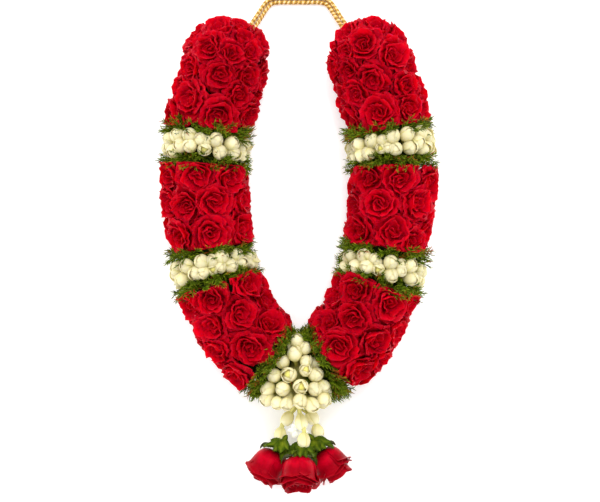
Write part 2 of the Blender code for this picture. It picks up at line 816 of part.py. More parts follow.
def neck_cord(collection, finish):
    """The doubled gold cord from one dome to the other, along the surface."""
    start = CORD_EXIT - CORD_WAY * (CORD_INSIDE - GAP)
    half = [start, CORD_EXIT - CORD_WAY * 8 * MM, CORD_EXIT + CORD_WAY * 4 * MM, *CORD_MIDDLE]
    route = Route([*half, *(mirrored(point) for point in reversed(half))])
    count = round(route.length / CORD_POINT_PITCH)
    curve = bpy.data.curves.new("neck_cord", "CURVE")
    curve.dimensions = "3D"
    curve.bevel_depth = CORD_DIAMETER / 2
    curve.bevel_resolution = 3
    curve.use_fill_caps = True
    spline = curve.splines.new("POLY")
    spline.points.add(count)
    for k, point in enumerate(spline.points):
        point.co = (*route.point(route.length * k / count), 1)
    curve.materials.append(finish)
    made = bpy.data.objects.new("neck_cord", curve)
    collection.objects.link(made)
    return made


def build():
    for old in list(bpy.data.objects):
        bpy.data.objects.remove(old, do_unlink=True)
    parts = bpy.data.collections.new("rose_garland")
    tools = bpy.data.collections.new("tools")
    for collection in (parts, tools):
        bpy.context.scene.collection.children.link(collection)

    petal = material("velvet red petal", RED, 0.75)
    cream = material("tuberose bud", CREAM, 0.5)
    needle = material("needle leaf", NEEDLE_GREEN, 0.7)
    cotton = material("cotton string", COTTON, 0.9)
    glossy = material("glossy red petal", DEEP_RED, 0.45)
    sepal = material("sepal", SEPAL_GREEN, 0.55)
    gold = material("gold zari cord", GOLD, 0.35, 0.6)

    bloom_radius = CORE_RADIUS + RELIEF
    bud_radius = BAND_RADIUS + RELIEF
    for side, hand in ((-1, "left"), (1, "right")):
        start = 1 if side < 0 else 2
        sections = (
            ("lower", LIMB_END_AT, LOWER_BAND_AT, LOWER_ROWS),
            ("middle", MIDDLE_ROSES_AT, UPPER_BAND_AT, MIDDLE_ROWS),
            ("top", TOP_ROSES_AT, TOP_END + GAP, TOP_ROWS),
        )
        for number, (level, low, high, rows) in enumerate(sections):
            ends = (low + GAP / 2, high - GAP / 2)
            phase = ROSE_PHASE + ROSE_PHASE_STEP * number
            limb_section(
                f"{level}_roses_{hand}", ends, rows, BLOOMS_ROUND, CORE_RADIUS, bloom_radius,
                phase, raise_bloom, parts, petal, side, 10 * number + start,
            )
        bands = (
            ("lower", LOWER_BAND_AT, MIDDLE_ROSES_AT, LOWER_FRINGES),
            ("upper", UPPER_BAND_AT, TOP_ROSES_AT, UPPER_FRINGES),
        )
        for number, (level, low, high, fringes) in enumerate(bands):
            stops = (low, low + fringes[0], high - fringes[1], high)
            spans = [(a + GAP / 2, b - GAP / 2) for a, b in zip(stops, stops[1:])]
            seed = 100 + 10 * number + start
            leaf_fringe(f"{level}_band_leaf_below_{hand}", spans[0], parts, needle, side, seed)
            limb_section(
                f"{level}_bud_band_{hand}", spans[1], BUD_ROWS, BUDS_ROUND, BAND_RADIUS, bud_radius,
                0.1 * start, raise_bud, parts, cream, side, seed + 3,
            )
            leaf_fringe(f"{level}_band_leaf_above_{hand}", spans[2], parts, needle, side, seed + 6)
        leaf_end(f"limb_end_leaf_{hand}", parts, needle, side, 200 + start)
    core_string(parts, cotton)
    bud_cluster(parts, tools, cream)
    pendant_string(parts, cotton)
    for hand in STRANDS:
        strand(hand, parts, tools, cream)
        hanging_rose(hand, parts, glossy)
        calyx(hand, parts, sepal)
    open_floret(parts, cream)
    neck_cord(parts, gold)


build()
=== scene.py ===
"""Rose garland on a pale floor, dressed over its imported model.

Every flower is modelled once in a few kinds, in millimetres, and copies of it are laid round the limbs.
"""

import math

import bpy
import numpy as np
from bpy.props import FloatProperty, FloatVectorProperty, IntProperty, PointerProperty
from bpy.types import Operator, Panel, PropertyGroup
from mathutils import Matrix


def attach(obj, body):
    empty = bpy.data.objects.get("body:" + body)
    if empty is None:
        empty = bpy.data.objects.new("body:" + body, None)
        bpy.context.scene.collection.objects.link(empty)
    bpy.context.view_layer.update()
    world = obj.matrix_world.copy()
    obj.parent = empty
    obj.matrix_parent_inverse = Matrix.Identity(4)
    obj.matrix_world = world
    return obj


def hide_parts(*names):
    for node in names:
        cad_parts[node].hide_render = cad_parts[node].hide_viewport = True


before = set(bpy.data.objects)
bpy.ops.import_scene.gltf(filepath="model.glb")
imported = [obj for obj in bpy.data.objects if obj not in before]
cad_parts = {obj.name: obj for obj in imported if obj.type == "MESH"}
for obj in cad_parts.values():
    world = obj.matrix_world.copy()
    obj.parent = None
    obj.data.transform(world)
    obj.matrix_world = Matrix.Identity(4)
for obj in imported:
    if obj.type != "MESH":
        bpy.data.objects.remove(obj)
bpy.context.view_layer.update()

bl_info = {
    "name": "Rose garland",
    "version": (1, 0, 0),
    "blender": (4, 5, 0),
    "location": "View3D > Sidebar > Garland",
    "description": "Builds a garland of roses, tuberose buds and needle leaf on a gold cord",
    "category": "Add Mesh",
}

MM = 0.001
TURN = 2 * math.pi
UP = np.array((0.0, 0.0, 1.0))
SIDES = {"left": -1, "right": 1}

# The left limb's line in mm, from the middle of the pendant up to the top dome. The right limb mirrors it.
DOME_CENTRE = (-93, 253, 47)
CORD_EXIT = (-65.6, 291.2, 27.7)
CORD_INSIDE = 25
LIMB_POINTS = (
    (0, -146, 48),
    (-37, -132, 48),
    (-71, -99, 50),
    (-92, -62, 51),
    (-107, -25, 51),
    (-114, 15, 51),
    (-120, 59, 51),
    (-122, 98, 51),
    (-118.5, 150, 51),
    (-112.5, 189, 50),
    (-102, 221, 49),
)

# Stations along that line: leaf collar, roses, band, roses, band, roses
LEAF_END = (12, 41)
ROSES = {"lower": (38, 157), "middle": (206, 312), "top": (362, 1000)}
FRINGES = {
    "lower_band_leaf_below": (152, 170),
    "lower_band_leaf_above": (192, 211),
    "upper_band_leaf_below": (307, 325),
    "upper_band_leaf_above": (350, 369),
}
BANDS = {"lower": (166, 196), "upper": (321, 354)}

# Where the open roses that face the front stand, in mm from the garland's middle
FRONT_ROSES = {
    ("top", "left"): (
        (-104, 296), (-115, 270), (-60, 265), (-70, 282), (-142, 245), (-102, 234), (-64, 231),
        (-158, 221), (-139, 202), (-77, 206), (-101, 183), (-59, 181), (-164, 183),
    ),
    ("top", "right"): (
        (105, 299), (84, 275), (60, 265), (124, 258), (95, 230), (142, 220), (103, 185),
        (67, 180), (56, 207), (64, 239), (127, 287), (151, 249), (164, 192),
    ),
    ("middle", "left"): (
        (-131, 106), (-88, 103), (-168, 107), (-146, 65), (-109, 70), (-70, 73), (-154, 27),
        (-111, 31), (-73, 36), (-174, 66),
    ),
    ("middle", "right"): (
        (89, 100), (132, 100), (170, 94), (103, 67), (152, 67), (68, 66), (79, 34), (122, 31), (164, 31),
    ),
    ("lower", "left"): (
        (-66, -38), (-114, -56), (-75, -73), (-40, -59), (-115, -92), (-34, -88), (-64, -116),
        (-105, -125), (-81, -154), (-142, -62),
    ),
    ("lower", "right"): (
        (74, -44), (117, -62), (73, -79), (36, -86), (98, -108), (51, -115), (77, -148),
        (44, -57), (145, -63), (133, -102), (110, -136),
    ),
}

# Where the tuberose buds that face the front stand. A third number of 1 marks one that has begun to open.
FRONT_BUDS = {
    ("upper", "left"): (
        (-170, 151), (-156, 156), (-140, 156), (-127, 151), (-118, 149), (-106, 150), (-86, 145),
        (-72, 138), (-65, 131), (-167, 140), (-152, 142), (-140, 142), (-121, 137, 1), (-101, 133),
        (-84, 131), (-70, 124),
    ),
    ("upper", "right"): (
        (78, 143), (94, 149), (108, 150), (121, 155), (140, 158), (157, 160), (170, 156), (65, 131),
        (69, 126), (90, 131), (106, 138, 1), (115, 139), (125, 137), (144, 139), (161, 138), (174, 142),
    ),
    ("lower", "left"): (
        (-159, -17), (-144, -13), (-125, -7), (-112, -6), (-99, -1), (-80, 1), (-62, -1), (-160, -31),
        (-149, -30), (-132, -23), (-122, -22), (-110, -18, 1), (-100, -15), (-87, -13), (-75, -9),
        (-65, -9), (-54, -9),
    ),
    ("lower", "right"): (
        (56, -2), (68, -1), (85, 0), (98, -3), (102, -8), (119, -8), (132, -11), (144, -12),
        (158, -16), (55, -14), (74, -15), (88, -15), (103, -18, 1), (119, -26), (132, -20),
        (145, -30), (159, -22), (160, -32),
    ),
}
CLUSTER_BUDS = (
    (-2, -111), (-5, -127), (8, -120), (-21, -137), (10, -137), (9, -148, 1), (-31, -155), (-12, -154, 1),
    (22, -154), (-20, -172), (-39, -172), (3, -169, 1), (21, -172), (32, -169), (2, -187),
    (17, -192), (32, -185), (-27, -190), (-15, -191), (-40, -185),
)

# The cone of buds between the limb ends
CONE_APEX = (0, -113.5, 52)
CONE_FOOT = -192
CONE_STEPS = (0, 0.2, 0.33, 0.55, 0.75, 1)
CONE_HALF_WIDTHS = (8, 14, 23, 33, 39, 35)

# Tassel: each strand's start, the way it leaves it, and the middles of its two buds
STRANDS = {
    "left": ((-3, -194.8, 46), (-4.5, -201, 44), (-14.4, -212.2, 35), (-23.8, -233.6, 31)),
    "centre": ((0, -194.8, 51), (1, -201, 53), (3.5, -215.7, 56), (7, -239.5, 57)),
    "right": ((3, -194.8, 46), (5, -201, 44), (17.5, -210.7, 35), (24.5, -229.4, 31)),
}
FLORET_TUBE = (0, -194.9, 42.3)
FLORET_MIDDLE = (-0.5, -228, 39)
FLORET_FACING = (-0.15, -0.55, 0.82)

# Hanging roses: where the sepals hold each one, where its mouth points, and its scale
HANGING_ROSES = {
    "left": ((-28, -257, 23.6), (-0.5, -0.86, 0.03), 1.11),
    "centre": ((1.5, -263, 48), (0, -0.92, 0.38), 1.09),
    "right": ((29, -256, 23.6), (0.62, -0.78, 0.03), 1.05),
}
# From where the sepals hold a rose up to the top of its green base
CALYX_TOP = 9.6

# Leafy sepals that face the front: each set's middle, then tips with half a width, in mm
SEPALS = {
    "left": (
        (-20, -242, 37),
        (-44, -248.5, 38, 4.2), (-36.5, -240.5, 33, 3.6), (-33, -254.5, 47, 5.5), (-24, -257, 51, 6.0),
        (-13, -253, 48, 5.0), (-14.5, -234, 37, 3.4), (-14, -262, 38, 6.5),
    ),
    "centre": (
        (2.5, -243, 51),
        (-13, -258, 60, 5.2), (2, -261, 69, 6.2), (19.5, -259.5, 60, 5.8), (-6, -262, 64, 4.6),
        (11, -262, 66, 5.0), (-17, -264, 34, 6.0),
    ),
    "right": (
        (20, -241, 37),
        (43, -243, 36, 4.2), (38, -241, 33, 5.6), (28.5, -254, 49, 5.6), (20, -254, 48, 5.4),
        (36, -251, 42, 5.0), (13, -232, 39, 3.2), (18, -262, 38, 6.5),
    ),
}

# The neck cord's middle between its two ends, in mm. It comes down from CORD_FREE and lies at CORD_LIE.
CORD_FREE = 22
CORD_LIE = 6.3
CORD_MIDDLE = (
    (-54.5, 308, 19),
    (-45, 323.5, 10.5),
    (-37.5, 332.2, 7.2),
    (-26, 334.8, CORD_LIE),
    (-10, 334.8, CORD_LIE),
)
# Each strand's plies, with their offset and radius as shares of half the strand's width
PLIES = 3
PLY_OFFSET = 0.39
PLY_RADIUS = 0.65

# Walls and clearances in mm
CLEARANCE = 0.3
END_GAP = 0.35
TEPAL_WALL = 0.5
LEAF_WALL = 0.6
LARGE_PETAL_WALL = 0.6

# Open roses: rim radius of the model, height of its middle over its seat, and how deep the core lies
MODEL_REACH = 23.5
ROSE_MIDDLE = 11
ROSE_CORE_DEPTH = 6.0
# Distances between the middles of roses that fill a limb, wide ones first, and from its ends
ROSE_PITCHES = (37.0, 29.0)
ROSE_INSET = 14
# How far a limb's roses may reach from its line, and from the garland's middle above the cluster
LIMB_OUTLINE = (55, 58)
NOTCH = 14.6
RUFFLE = 1.25

# Tuberose buds: from the line to a bud's tip on a band, and distances between them
BAND_REACH = 50.5
BAND_PITCHES = (15.5, 13.5)
CLUSTER_PITCH = 14.5
# Place on the green-yellow to cream scale
NECK_GREEN = -0.1
HANGING_NECK_GREEN = -0.05

# How flowers press together: the share of its room that stays unpressed, and the overlap allowed in mm
ROSE_PRESS = (0.74, 2.6)
BAND_PRESS = (0.88, 3.0)
CLUSTER_PRESS = (0.9, 3.0)
# Room among neighbours: how many may press on a flower and from how near, then how many set its size, at
# which spacing it is its full size, and its least and largest size
ROSE_ROOM = (7, 56, 3, 34.5, 0.72, 1.14)
BAND_ROOM = (6, 19, 2, 12.0, 0.75, 1.14)
CLUSTER_ROOM = (6, 19, 2, 14.0, 0.94, 1.12)
# A flower seen further out than this share of the limb's reach is drawn in to it
EDGE_SHARE = 0.96

# Needle leaf: a sprig in needle lengths, rounds that the sprigs make, and the collar's share of them
SPRIG_REACH = 1.9
SPRIG_NEEDLES = 11
SPRIG_ROUNDS = 13
COLLAR_SHARE = 2.4
# How far a sprig may pass its fringe: in the collar, over the roses and over the buds
COLLAR_SPILL, ROSE_SPILL, BUD_SPILL = 6, 0.5, 4.5
# A sprig that would stand further out from the limb's line is left out
LEAF_OUTLINE = 68.5
DRY_TONE = 1.3

# Edges that bend by more than this are drawn sharp
CREASE = math.radians(55)
SEEDS = {"roses": 7, "bands": 11, "leaf": 5, "pendant": 23, "hanging_roses": 31}

# Suns: strength, apparent size in degrees, and tilt in degrees. The wide one is the key, from the top end.
SUNS = {"soft_key": (1.04, 60, (-42, -5)), "highlight": (0.75, 16, (-26, 9))}
WORLD_STRENGTH = 1.28
# Straight down from far enough that the pendant isn't seen from below, with 0.78 m in view at 5 m
SENSOR_WIDTH = 36
LENS = SENSOR_WIDTH * 5 / 0.78
CAMERA_PLACE = (0.00195, 0.00585, 5.05)


def linear(code):
    """An sRGB hex colour as the linear red, green and blue that Blender works in."""
    channels = (int(code[at : at + 2], 16) / 255 for at in (0, 2, 4))
    return tuple(c / 12.92 if c <= 0.04045 else ((c + 0.055) / 1.055) ** 2.4 for c in channels)


def unit(vector):
    vector = np.asarray(vector, float)
    return vector / np.linalg.norm(vector)


def mirrored(points):
    return np.asarray(points, float) * (-1, 1, 1)


# Settings that a user would change


def length(name, description, default):
    return FloatProperty(
        name=name, description=description, default=default * MM, subtype="DISTANCE", unit="LENGTH"
    )


def colour(name, description, code):
    return FloatVectorProperty(
        name=name, description=description, default=linear(code), subtype="COLOR", size=3, min=0, max=1
    )


class GarlandSizes(PropertyGroup):
    bloom_reach: length("Rose radius", "From an open rose's middle to its outer rim", 24)
    bloom_base: length("Rose seat", "From the limb's line to the foot of an open rose", 39)
    petal_wall: length("Petal thickness", "Thickness of a rose petal", 0.5)
    bud_length: length("Bud length", "Length of a tuberose bud", 20.5)
    bud_width: length("Bud width", "Width of a tuberose bud", 17)
    needle_length: length("Needle length", "Length of one needle of the leaf", 10.5)
    needle_width: length("Needle width", "Width of one needle at its foot", 1.8)
    cord_width: length("Cord width", "Width of the two gold strands side by side", 11.7)
    ply_pitch: length("Ply pitch", "Length of one turn of the twisted gold plies", 15)
    sprigs: IntProperty(name="Sprigs", description="Leaf sprigs in each fringe", default=178, min=12, max=240)


class GarlandColours(PropertyGroup):
    rose: colour("Rose", "Open roses, middle of the petal", "B20016")
    # Painted shade: the darker foot of an open rose's petal
    rose_deep: colour("Rose base", "Open roses, foot of the petal", "A00012")
    # Painted highlight: the lighter rim of the petals, which also lightens their veins
    rose_rim: colour("Rose rim", "Open roses, rim of the petal", "BA1022")
    large_rose: colour("Large rose", "Hanging roses, middle of the petal", "880010")
    # Painted shade: the darker foot of a hanging rose's petal
    large_rose_deep: colour("Large rose base", "Hanging roses, foot of the petal", "600008")
    bud: colour("Bud", "Tuberose buds, most of the tepal", "D6C999")
    bud_base: colour("Bud base", "Tuberose buds, green-yellow foot", "B0AC2C")
    leaf: colour("Leaf", "Needle leaf, most of it", "526A08")
    leaf_light: colour("Leaf tips", "Needle leaf, young tips", "A2AE30")
    leaf_brown: colour("Leaf brown", "Needle leaf, dry reddish tips", "7A3E16")
    sepal: colour("Sepal", "Green base of the hanging roses", "384E08")
    gold: colour("Gold", "Metallic yarn of the neck cord", "C69C42")
    floor: colour("Floor", "Plain pale floor", "FFFFFF")


# Materials


def add_node(material, kind, inputs=None, out=0, stops=(), **settings):
    """Adds one node and gives one of its outputs. An input takes a value or another node's output."""
    tree = material.node_tree
    made = tree.nodes.new(kind)
    for name, value in settings.items():
        setattr(made, name, value)
    for at, (place, shade) in enumerate(stops):
        elements = made.color_ramp.elements
        element = elements[at] if at < 2 else elements.new(place)
        element.position = place
        element.color = (*shade, 1)
    for name, value in (inputs or {}).items():
        if isinstance(value, bpy.types.NodeSocket):
            tree.links.new(value, made.inputs[name])
        else:
            made.inputs[name].default_value = value
    return made.outputs[out]


def blank_material(name):
    """A material whose tree holds only the output and the object's coordinates, which are given too."""
    made = bpy.data.materials.new(name)
    made.use_nodes = True
    made.node_tree.nodes.remove(made.node_tree.nodes["Principled BSDF"])
    return made, add_node(made, "ShaderNodeTexCoord", out="Object")


def finished(material, settings, height, strength, distance):
    """Ends a material with its surface, embossed by a height that stands for distance in mm."""
    embossed = {"Strength": strength, "Distance": distance * MM, "Height": height}
    bump = add_node(material, "ShaderNodeBump", embossed)
    surface = add_node(material, "ShaderNodeBsdfPrincipled", {**settings, "Normal": bump})
    nodes = material.node_tree.nodes
    material.node_tree.links.new(surface, nodes["Material Output"].inputs["Surface"])
    return material


def shaded(base, towards, share):
    return tuple(a + (b - a) * share for a, b in zip(base, towards))


def living_material(name, scale, detail, drift, stops):
    """What petals, tepals and leaves share: a colour that runs from foot to tip and drifts with clouds.

    Gives the material, its place on the petal, that place split up, its tone, the clouds and the colour.
    """
    made, solid = blank_material(name)
    place = add_node(made, "ShaderNodeUVMap", uv_map="surface")
    split = add_node(made, "ShaderNodeSeparateXYZ", {"Vector": place}).node
    tone = add_node(made, "ShaderNodeAttribute", out="Fac", attribute_name="tone")
    cloud = add_node(made, "ShaderNodeTexNoise", {"Vector": solid, "Scale": scale, "Detail": detail})
    lift = add_node(made, "ShaderNodeMath", {0: cloud, 1: drift, 2: -drift / 2}, operation="MULTIPLY_ADD")
    height = add_node(made, "ShaderNodeMath", {0: split.outputs["Y"], 1: lift}, operation="ADD")
    skin = add_node(made, "ShaderNodeValToRGB", {"Fac": height}, stops=stops)
    return made, place, split, tone, cloud, skin


# A painted highlight on the belly of a large rose's petal
PAINTED_BELLY_HIGHLIGHT = linear("D40024")
BLACK = linear("000000")


def rose_petal(name, deep, middle, rim, gloss):
    """Fresh velvety rose petal, painted darker at the foot as shade deep in the cup and lighter at the rim as
    a highlight.
    """
    if gloss:
        painted_belly_highlight = shaded(middle, PAINTED_BELLY_HIGHLIGHT, 0.75)
        # The ramp paints shade at the foot, a highlight across the belly and a lighter rim
        stops = ((0.06, deep), (0.28, middle), (0.50, painted_belly_highlight), (0.74, middle), (1.0, shaded(middle, rim, 0.5)))
        # The fresh skin of the large roses has a thin wet shine
        weight, rough, shine, coat = 0.2, 0.31, 0.18, 0.01
    else:
        # Painted shade at the foot of the petal, painted highlight at its rim
        stops = ((0.10, deep), (0.50, middle), (0.90, middle), (1.0, rim))
        weight, rough, shine, coat = 0.7, 0.45, 0.1, 0.0
    # Cloudy depth of colour, 7 mm across
    made, place, _, tone, _, skin = living_material(name, 140.0, 2.0, 0.30, stops)
    # Veins run from foot to rim, about 0.7 mm apart on a petal 30 mm wide
    fan = add_node(made, "ShaderNodeMapping", {"Vector": place, "Scale": (42, 2.2, 1)})
    streaks = {"Vector": fan, "Scale": 1.0, "Detail": 3.0, "Distortion": 0.4}
    veins = add_node(made, "ShaderNodeTexNoise", streaks)
    low, high = (*shaded(middle, deep, 0.75), 1), (*shaded(middle, rim, 0.35), 1)
    dark = add_node(made, "ShaderNodeMix", {0: veins, 6: low, 7: high}, 2, data_type="RGBA")
    veined = add_node(made, "ShaderNodeMix", {0: 0.32, 6: skin, 7: dark}, 2, data_type="RGBA")
    settings = {
        "Base Color": add_node(made, "ShaderNodeHueSaturation", {"Value": tone, "Color": veined}),
        # Light that passes through the thin petal warms the gaps behind it
        "Subsurface Weight": weight,
        "Subsurface Radius": (1.0, 0.12, 0.12),
        "Subsurface Scale": 4 * MM,
        "Roughness": rough,
        "IOR": 1.32,
        "Specular IOR Level": shine,
        "Specular Tint": (*linear("FF596F"), 1),
        "Coat Weight": coat,
        "Coat Roughness": 0.24,
        "Coat IOR": 1.4,
    }
    return finished(made, settings, veins, 0.35, 0.25)


def tuberose_tepal(name, base, body):
    """Waxy tuberose tepal, cream with a green-yellow foot and a tip painted whiter as a highlight. Its wax
    gives a broad, weak highlight.
    """
    # The tip is painted whiter: a painted highlight where a bud faces out
    white = shaded(body, linear("FFFDE7"), 0.26)
    green = (*shaded(body, base, 0.45), 1)
    stops = ((0.06, base), (0.36, shaded(base, body, 0.6)), (0.62, body), (0.95, white))
    # Clouds 6 mm across
    made, place, split, tone, _, skin = living_material(name, 160.0, 2.0, 0.36, stops)
    # Ribs from foot to tip, 1 mm apart
    fan = add_node(made, "ShaderNodeMapping", {"Vector": place, "Scale": (16, 1.2, 1)})
    ribs = add_node(made, "ShaderNodeTexNoise", {"Vector": fan, "Scale": 1.0, "Detail": 2.0})
    ribbed = add_node(made, "ShaderNodeMix", {0: ribs, 6: green, 7: (*white, 1)}, 2, data_type="RGBA")
    mixed = add_node(made, "ShaderNodeMix", {0: 0.22, 6: skin, 7: ribbed}, 2, data_type="RGBA")
    # The edges of a tepal are thinner and greener
    side = split.outputs["X"]
    centred = add_node(made, "ShaderNodeMath", {0: side, 1: 2.0, 2: -1.0}, operation="MULTIPLY_ADD")
    aside = add_node(made, "ShaderNodeMath", {0: centred}, operation="ABSOLUTE")
    edge = add_node(made, "ShaderNodeMath", {0: aside, 1: 5.0}, operation="POWER")
    edged = add_node(made, "ShaderNodeMix", {0: edge, 6: mixed, 7: green}, 2, data_type="RGBA")
    settings = {
        "Base Color": add_node(made, "ShaderNodeHueSaturation", {"Value": tone, "Color": edged}),
        # The thick tepals glow a little from inside, which keeps their shaded sides warm
        "Subsurface Weight": 0.35,
        "Subsurface Radius": (1.0, 0.85, 0.45),
        "Subsurface Scale": 2.5 * MM,
        "Roughness": 0.42,
        "IOR": 1.45,
        "Specular IOR Level": 0.25,
        "Specular Tint": (*linear("FFF9E1"), 1),
    }
    return finished(made, settings, ribs, 0.25, 0.2)


def green_leaf(name, dark, light, brown, scale):
    """Needle leaf and sepals. Young tips are lighter, a few are dry, and a thin skin gives small lights."""
    # The ramp's near-black low end paints shade at the foot of each needle, where the needles crowd at their
    # stem
    stops = ((0.0, shaded(dark, BLACK, 0.65)), (0.45, dark), (0.8, shaded(dark, light, 0.55)), (1.0, light))
    # Mottling 4 mm across on the needles and 6 mm on the sepals
    made, _, _, tone, grain, skin = living_material(name, scale, 3.0, 0.8, stops)
    # A tone above 1.2 marks a dry needle
    dry = add_node(made, "ShaderNodeMath", {0: tone, 1: 1.2}, operation="GREATER_THAN")
    dried = add_node(made, "ShaderNodeMix", {0: dry, 6: skin, 7: (*brown, 1)}, 2, data_type="RGBA")
    settings = {
        "Base Color": add_node(made, "ShaderNodeHueSaturation", {"Value": tone, "Color": dried}),
        "Roughness": 0.45,
        "Specular IOR Level": 0.18,
        "Specular Tint": (*linear("E7F37C"), 1),
    }
    return finished(made, settings, grain, 0.3, 0.2)


def cut_stems(name, shade):
    """Cut stems and calyxes pressed together behind the flowers: damp, dark and rough."""
    made, solid = blank_material(name)
    # Stems 3 mm thick
    lumps = add_node(made, "ShaderNodeTexVoronoi", {"Vector": solid, "Scale": 330.0})
    stops = ((0.0, shade), (0.7, shaded(shade, BLACK, 0.7)))
    skin = add_node(made, "ShaderNodeValToRGB", {"Fac": lumps}, stops=stops)
    return finished(made, {"Base Color": skin, "Roughness": 0.8, "Specular IOR Level": 0.08}, lumps, 0.8, 1)


def zari_yarn(name, gold):
    """Zari: metallic foil wound on a yarn. Its windings carry painted shadow and painted glint, so the gold
    glitters in lines.
    """
    made, solid = blank_material(name)
    # Slanted bands 7 mm apart along a ply, drawn far coarser than the real windings so that they show
    place = add_node(made, "ShaderNodeUVMap", uv_map="surface")
    turns = add_node(made, "ShaderNodeMapping", {"Vector": place, "Scale": (1.5, 300, 1)})
    bands = {"Vector": turns, "Scale": 0.3, "Distortion": 1.5, "Detail": 2.0}
    windings = add_node(made, "ShaderNodeTexWave", bands, "Fac", bands_direction="DIAGONAL")
    # Worn patches 5 mm across
    wear = add_node(made, "ShaderNodeTexNoise", {"Vector": solid, "Scale": 220.0, "Detail": 3.0})
    # Painted shadow in the grooves of the windings and painted glint on their ridges
    painted_shadow, painted_glint = shaded(gold, linear("3F2700"), 0.55), shaded(gold, linear("FFF3DA"), 0.5)
    stops = ((0.1, painted_shadow), (0.6, gold), (1.0, painted_glint))
    skin = add_node(made, "ShaderNodeValToRGB", {"Fac": windings}, stops=stops)
    colours = {0: wear, 6: skin, 7: (*shaded(gold, linear("FFF9E7"), 0.3), 1)}
    worn = add_node(made, "ShaderNodeMix", colours, 2, data_type="RGBA", blend_type="SOFT_LIGHT")
    return finished(made, {"Base Color": worn, "Metallic": 0.55, "Roughness": 0.42}, windings, 0.6, 0.3)


def cotton_thread(name):
    """Undyed twisted cotton string, dull and fibrous."""
    made, solid = blank_material(name)
    # Fibres 1 mm apart, far coarser than real ones so that they show
    fibres = add_node(made, "ShaderNodeTexNoise", {"Vector": solid, "Scale": 900.0, "Detail": 4.0})
    stops = ((0.3, linear("A3916A")), (0.7, linear("D9CCAB")))
    skin = add_node(made, "ShaderNodeValToRGB", {"Fac": fibres}, stops=stops)
    return finished(made, {"Base Color": skin, "Roughness": 0.9, "Sheen Weight": 0.2}, fibres, 0.5, 0.3)


def paper_floor(name, shade):
    """A roll of matt studio paper that glows a little, painted light so that shadows on it stay faint."""
    made, solid = blank_material(name)
    # The sheet is faintly uneven over 25 mm
    pulp = add_node(made, "ShaderNodeTexNoise", {"Vector": solid, "Scale": 40.0})
    settings = {
        "Base Color": (*shade, 1),
        "Roughness": 0.9,
        "Specular IOR Level": 0.1,
        # Painted light: the paper glows a little, with no lamp below it
        "Emission Color": (*linear("FFFFFF"), 1),
        "Emission Strength": 0.2,
    }
    return finished(made, settings, pulp, 0.02, 0.1)


# Shapes as plain arrays in millimetres, so that many copies join quickly


class Shape:
    """Points, triangles, each corner's place on its petal, each point's tone and each triangle's material."""

    def __init__(self, points, triangles, uv, tone, slot):
        self.points = np.asarray(points, float)
        self.triangles = np.asarray(triangles, int)
        self.uv = np.asarray(uv, float)
        self.tone = np.asarray(tone, float)
        self.slot = np.asarray(slot, int)

    def moved(self, axes, origin, tone=1.0):
        """A copy whose x, y and z run along the three rows of axes."""
        points = self.points @ np.asarray(axes) + origin
        return Shape(points, self.triangles, self.uv, self.tone * tone, self.slot)


def together(shapes):
    """Several shapes as one."""
    starts = np.cumsum([0, *(len(shape.points) for shape in shapes[:-1])])
    triangles = [shape.triangles + start for shape, start in zip(shapes, starts)]
    parts = ("points", "uv", "tone", "slot")
    points, uv, tone, slot = (np.concatenate([getattr(shape, part) for shape in shapes]) for part in parts)
    return Shape(points, np.concatenate(triangles), uv, tone, slot)


def active_alone(obj):
    """Selects one object and nothing else."""
    bpy.ops.object.select_all(action="DESELECT")
    obj.select_set(True)
    bpy.context.view_layer.objects.active = obj


def coordinates(obj):
    points = np.zeros(3 * len(obj.data.vertices))
    obj.data.vertices.foreach_get("co", points)
    return points.reshape(-1, 3)


def reshaped(obj, points):
    obj.data.vertices.foreach_set("co", np.asarray(points, float).ravel())
    obj.data.update()


def thickened(obj, wall):
    """Gives an open sheet its wall, half of it on each side."""
    active_alone(obj)
    shell = obj.modifiers.new("Wall", "SOLIDIFY")
    shell.thickness = wall
    shell.offset = 0
    bpy.ops.object.modifier_apply(modifier=shell.name)


def taken(obj, tone=1.0, along=None):
    """Reads a finished object into a Shape and removes it. With along, its uv runs up between two heights."""
    mesh = obj.data
    mesh.calc_loop_triangles()
    count = len(mesh.loop_triangles)
    triangles = np.zeros(3 * count, np.int32)
    loops = np.zeros(3 * count, np.int32)
    mesh.loop_triangles.foreach_get("vertices", triangles)
    mesh.loop_triangles.foreach_get("loops", loops)
    points = coordinates(obj)
    if along is None:
        uv = np.zeros(2 * len(mesh.loops))
        mesh.uv_layers.active.data.foreach_get("uv", uv)
        uv = uv.reshape(-1, 2)[loops]
    else:
        height = (points[triangles, 2] - along[0]) / (along[1] - along[0])
        uv = np.stack([np.full(len(height), 0.5), height], axis=1)
    bpy.data.objects.remove(obj)
    bpy.data.meshes.remove(mesh)
    tones = np.full(len(points), tone)
    return Shape(points, triangles.reshape(-1, 3), uv.reshape(-1, 3, 2), tones, np.zeros(count))


def piece(name, shapes, materials, node):
    """One finished object at the origin, which rides on the garland's only body and replaces a node."""
    whole = together(shapes)
    mesh = bpy.data.meshes.new(name)
    mesh.from_pydata(whole.points * MM, [], whole.triangles)
    layer = mesh.uv_layers.new(name="surface")
    layer.data.foreach_set("uv", whole.uv.ravel())
    mesh.attributes.new("tone", "FLOAT", "POINT").data.foreach_set("value", whole.tone)
    mesh.polygons.foreach_set("material_index", whole.slot)
    for material in materials:
        mesh.materials.append(material)
    mesh.shade_smooth()
    mesh.set_sharp_from_angle(angle=CREASE)
    mesh.update()
    made = bpy.data.objects.new(name, mesh)
    bpy.context.scene.collection.objects.link(made)
    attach(made, "root")
    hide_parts(node)
    return made


def frame_about(way, spin):
    """Three rows: across, up the side, and way, turned about way by spin."""
    way = unit(way)
    first = unit(np.cross((0.3, 0.9, 0.1) if abs(way[1]) < 0.9 else (1, 0, 0), way))
    second = np.cross(way, first)
    c, s = math.cos(spin), math.sin(spin)
    return np.array([first * c + second * s, second * c - first * s, way])


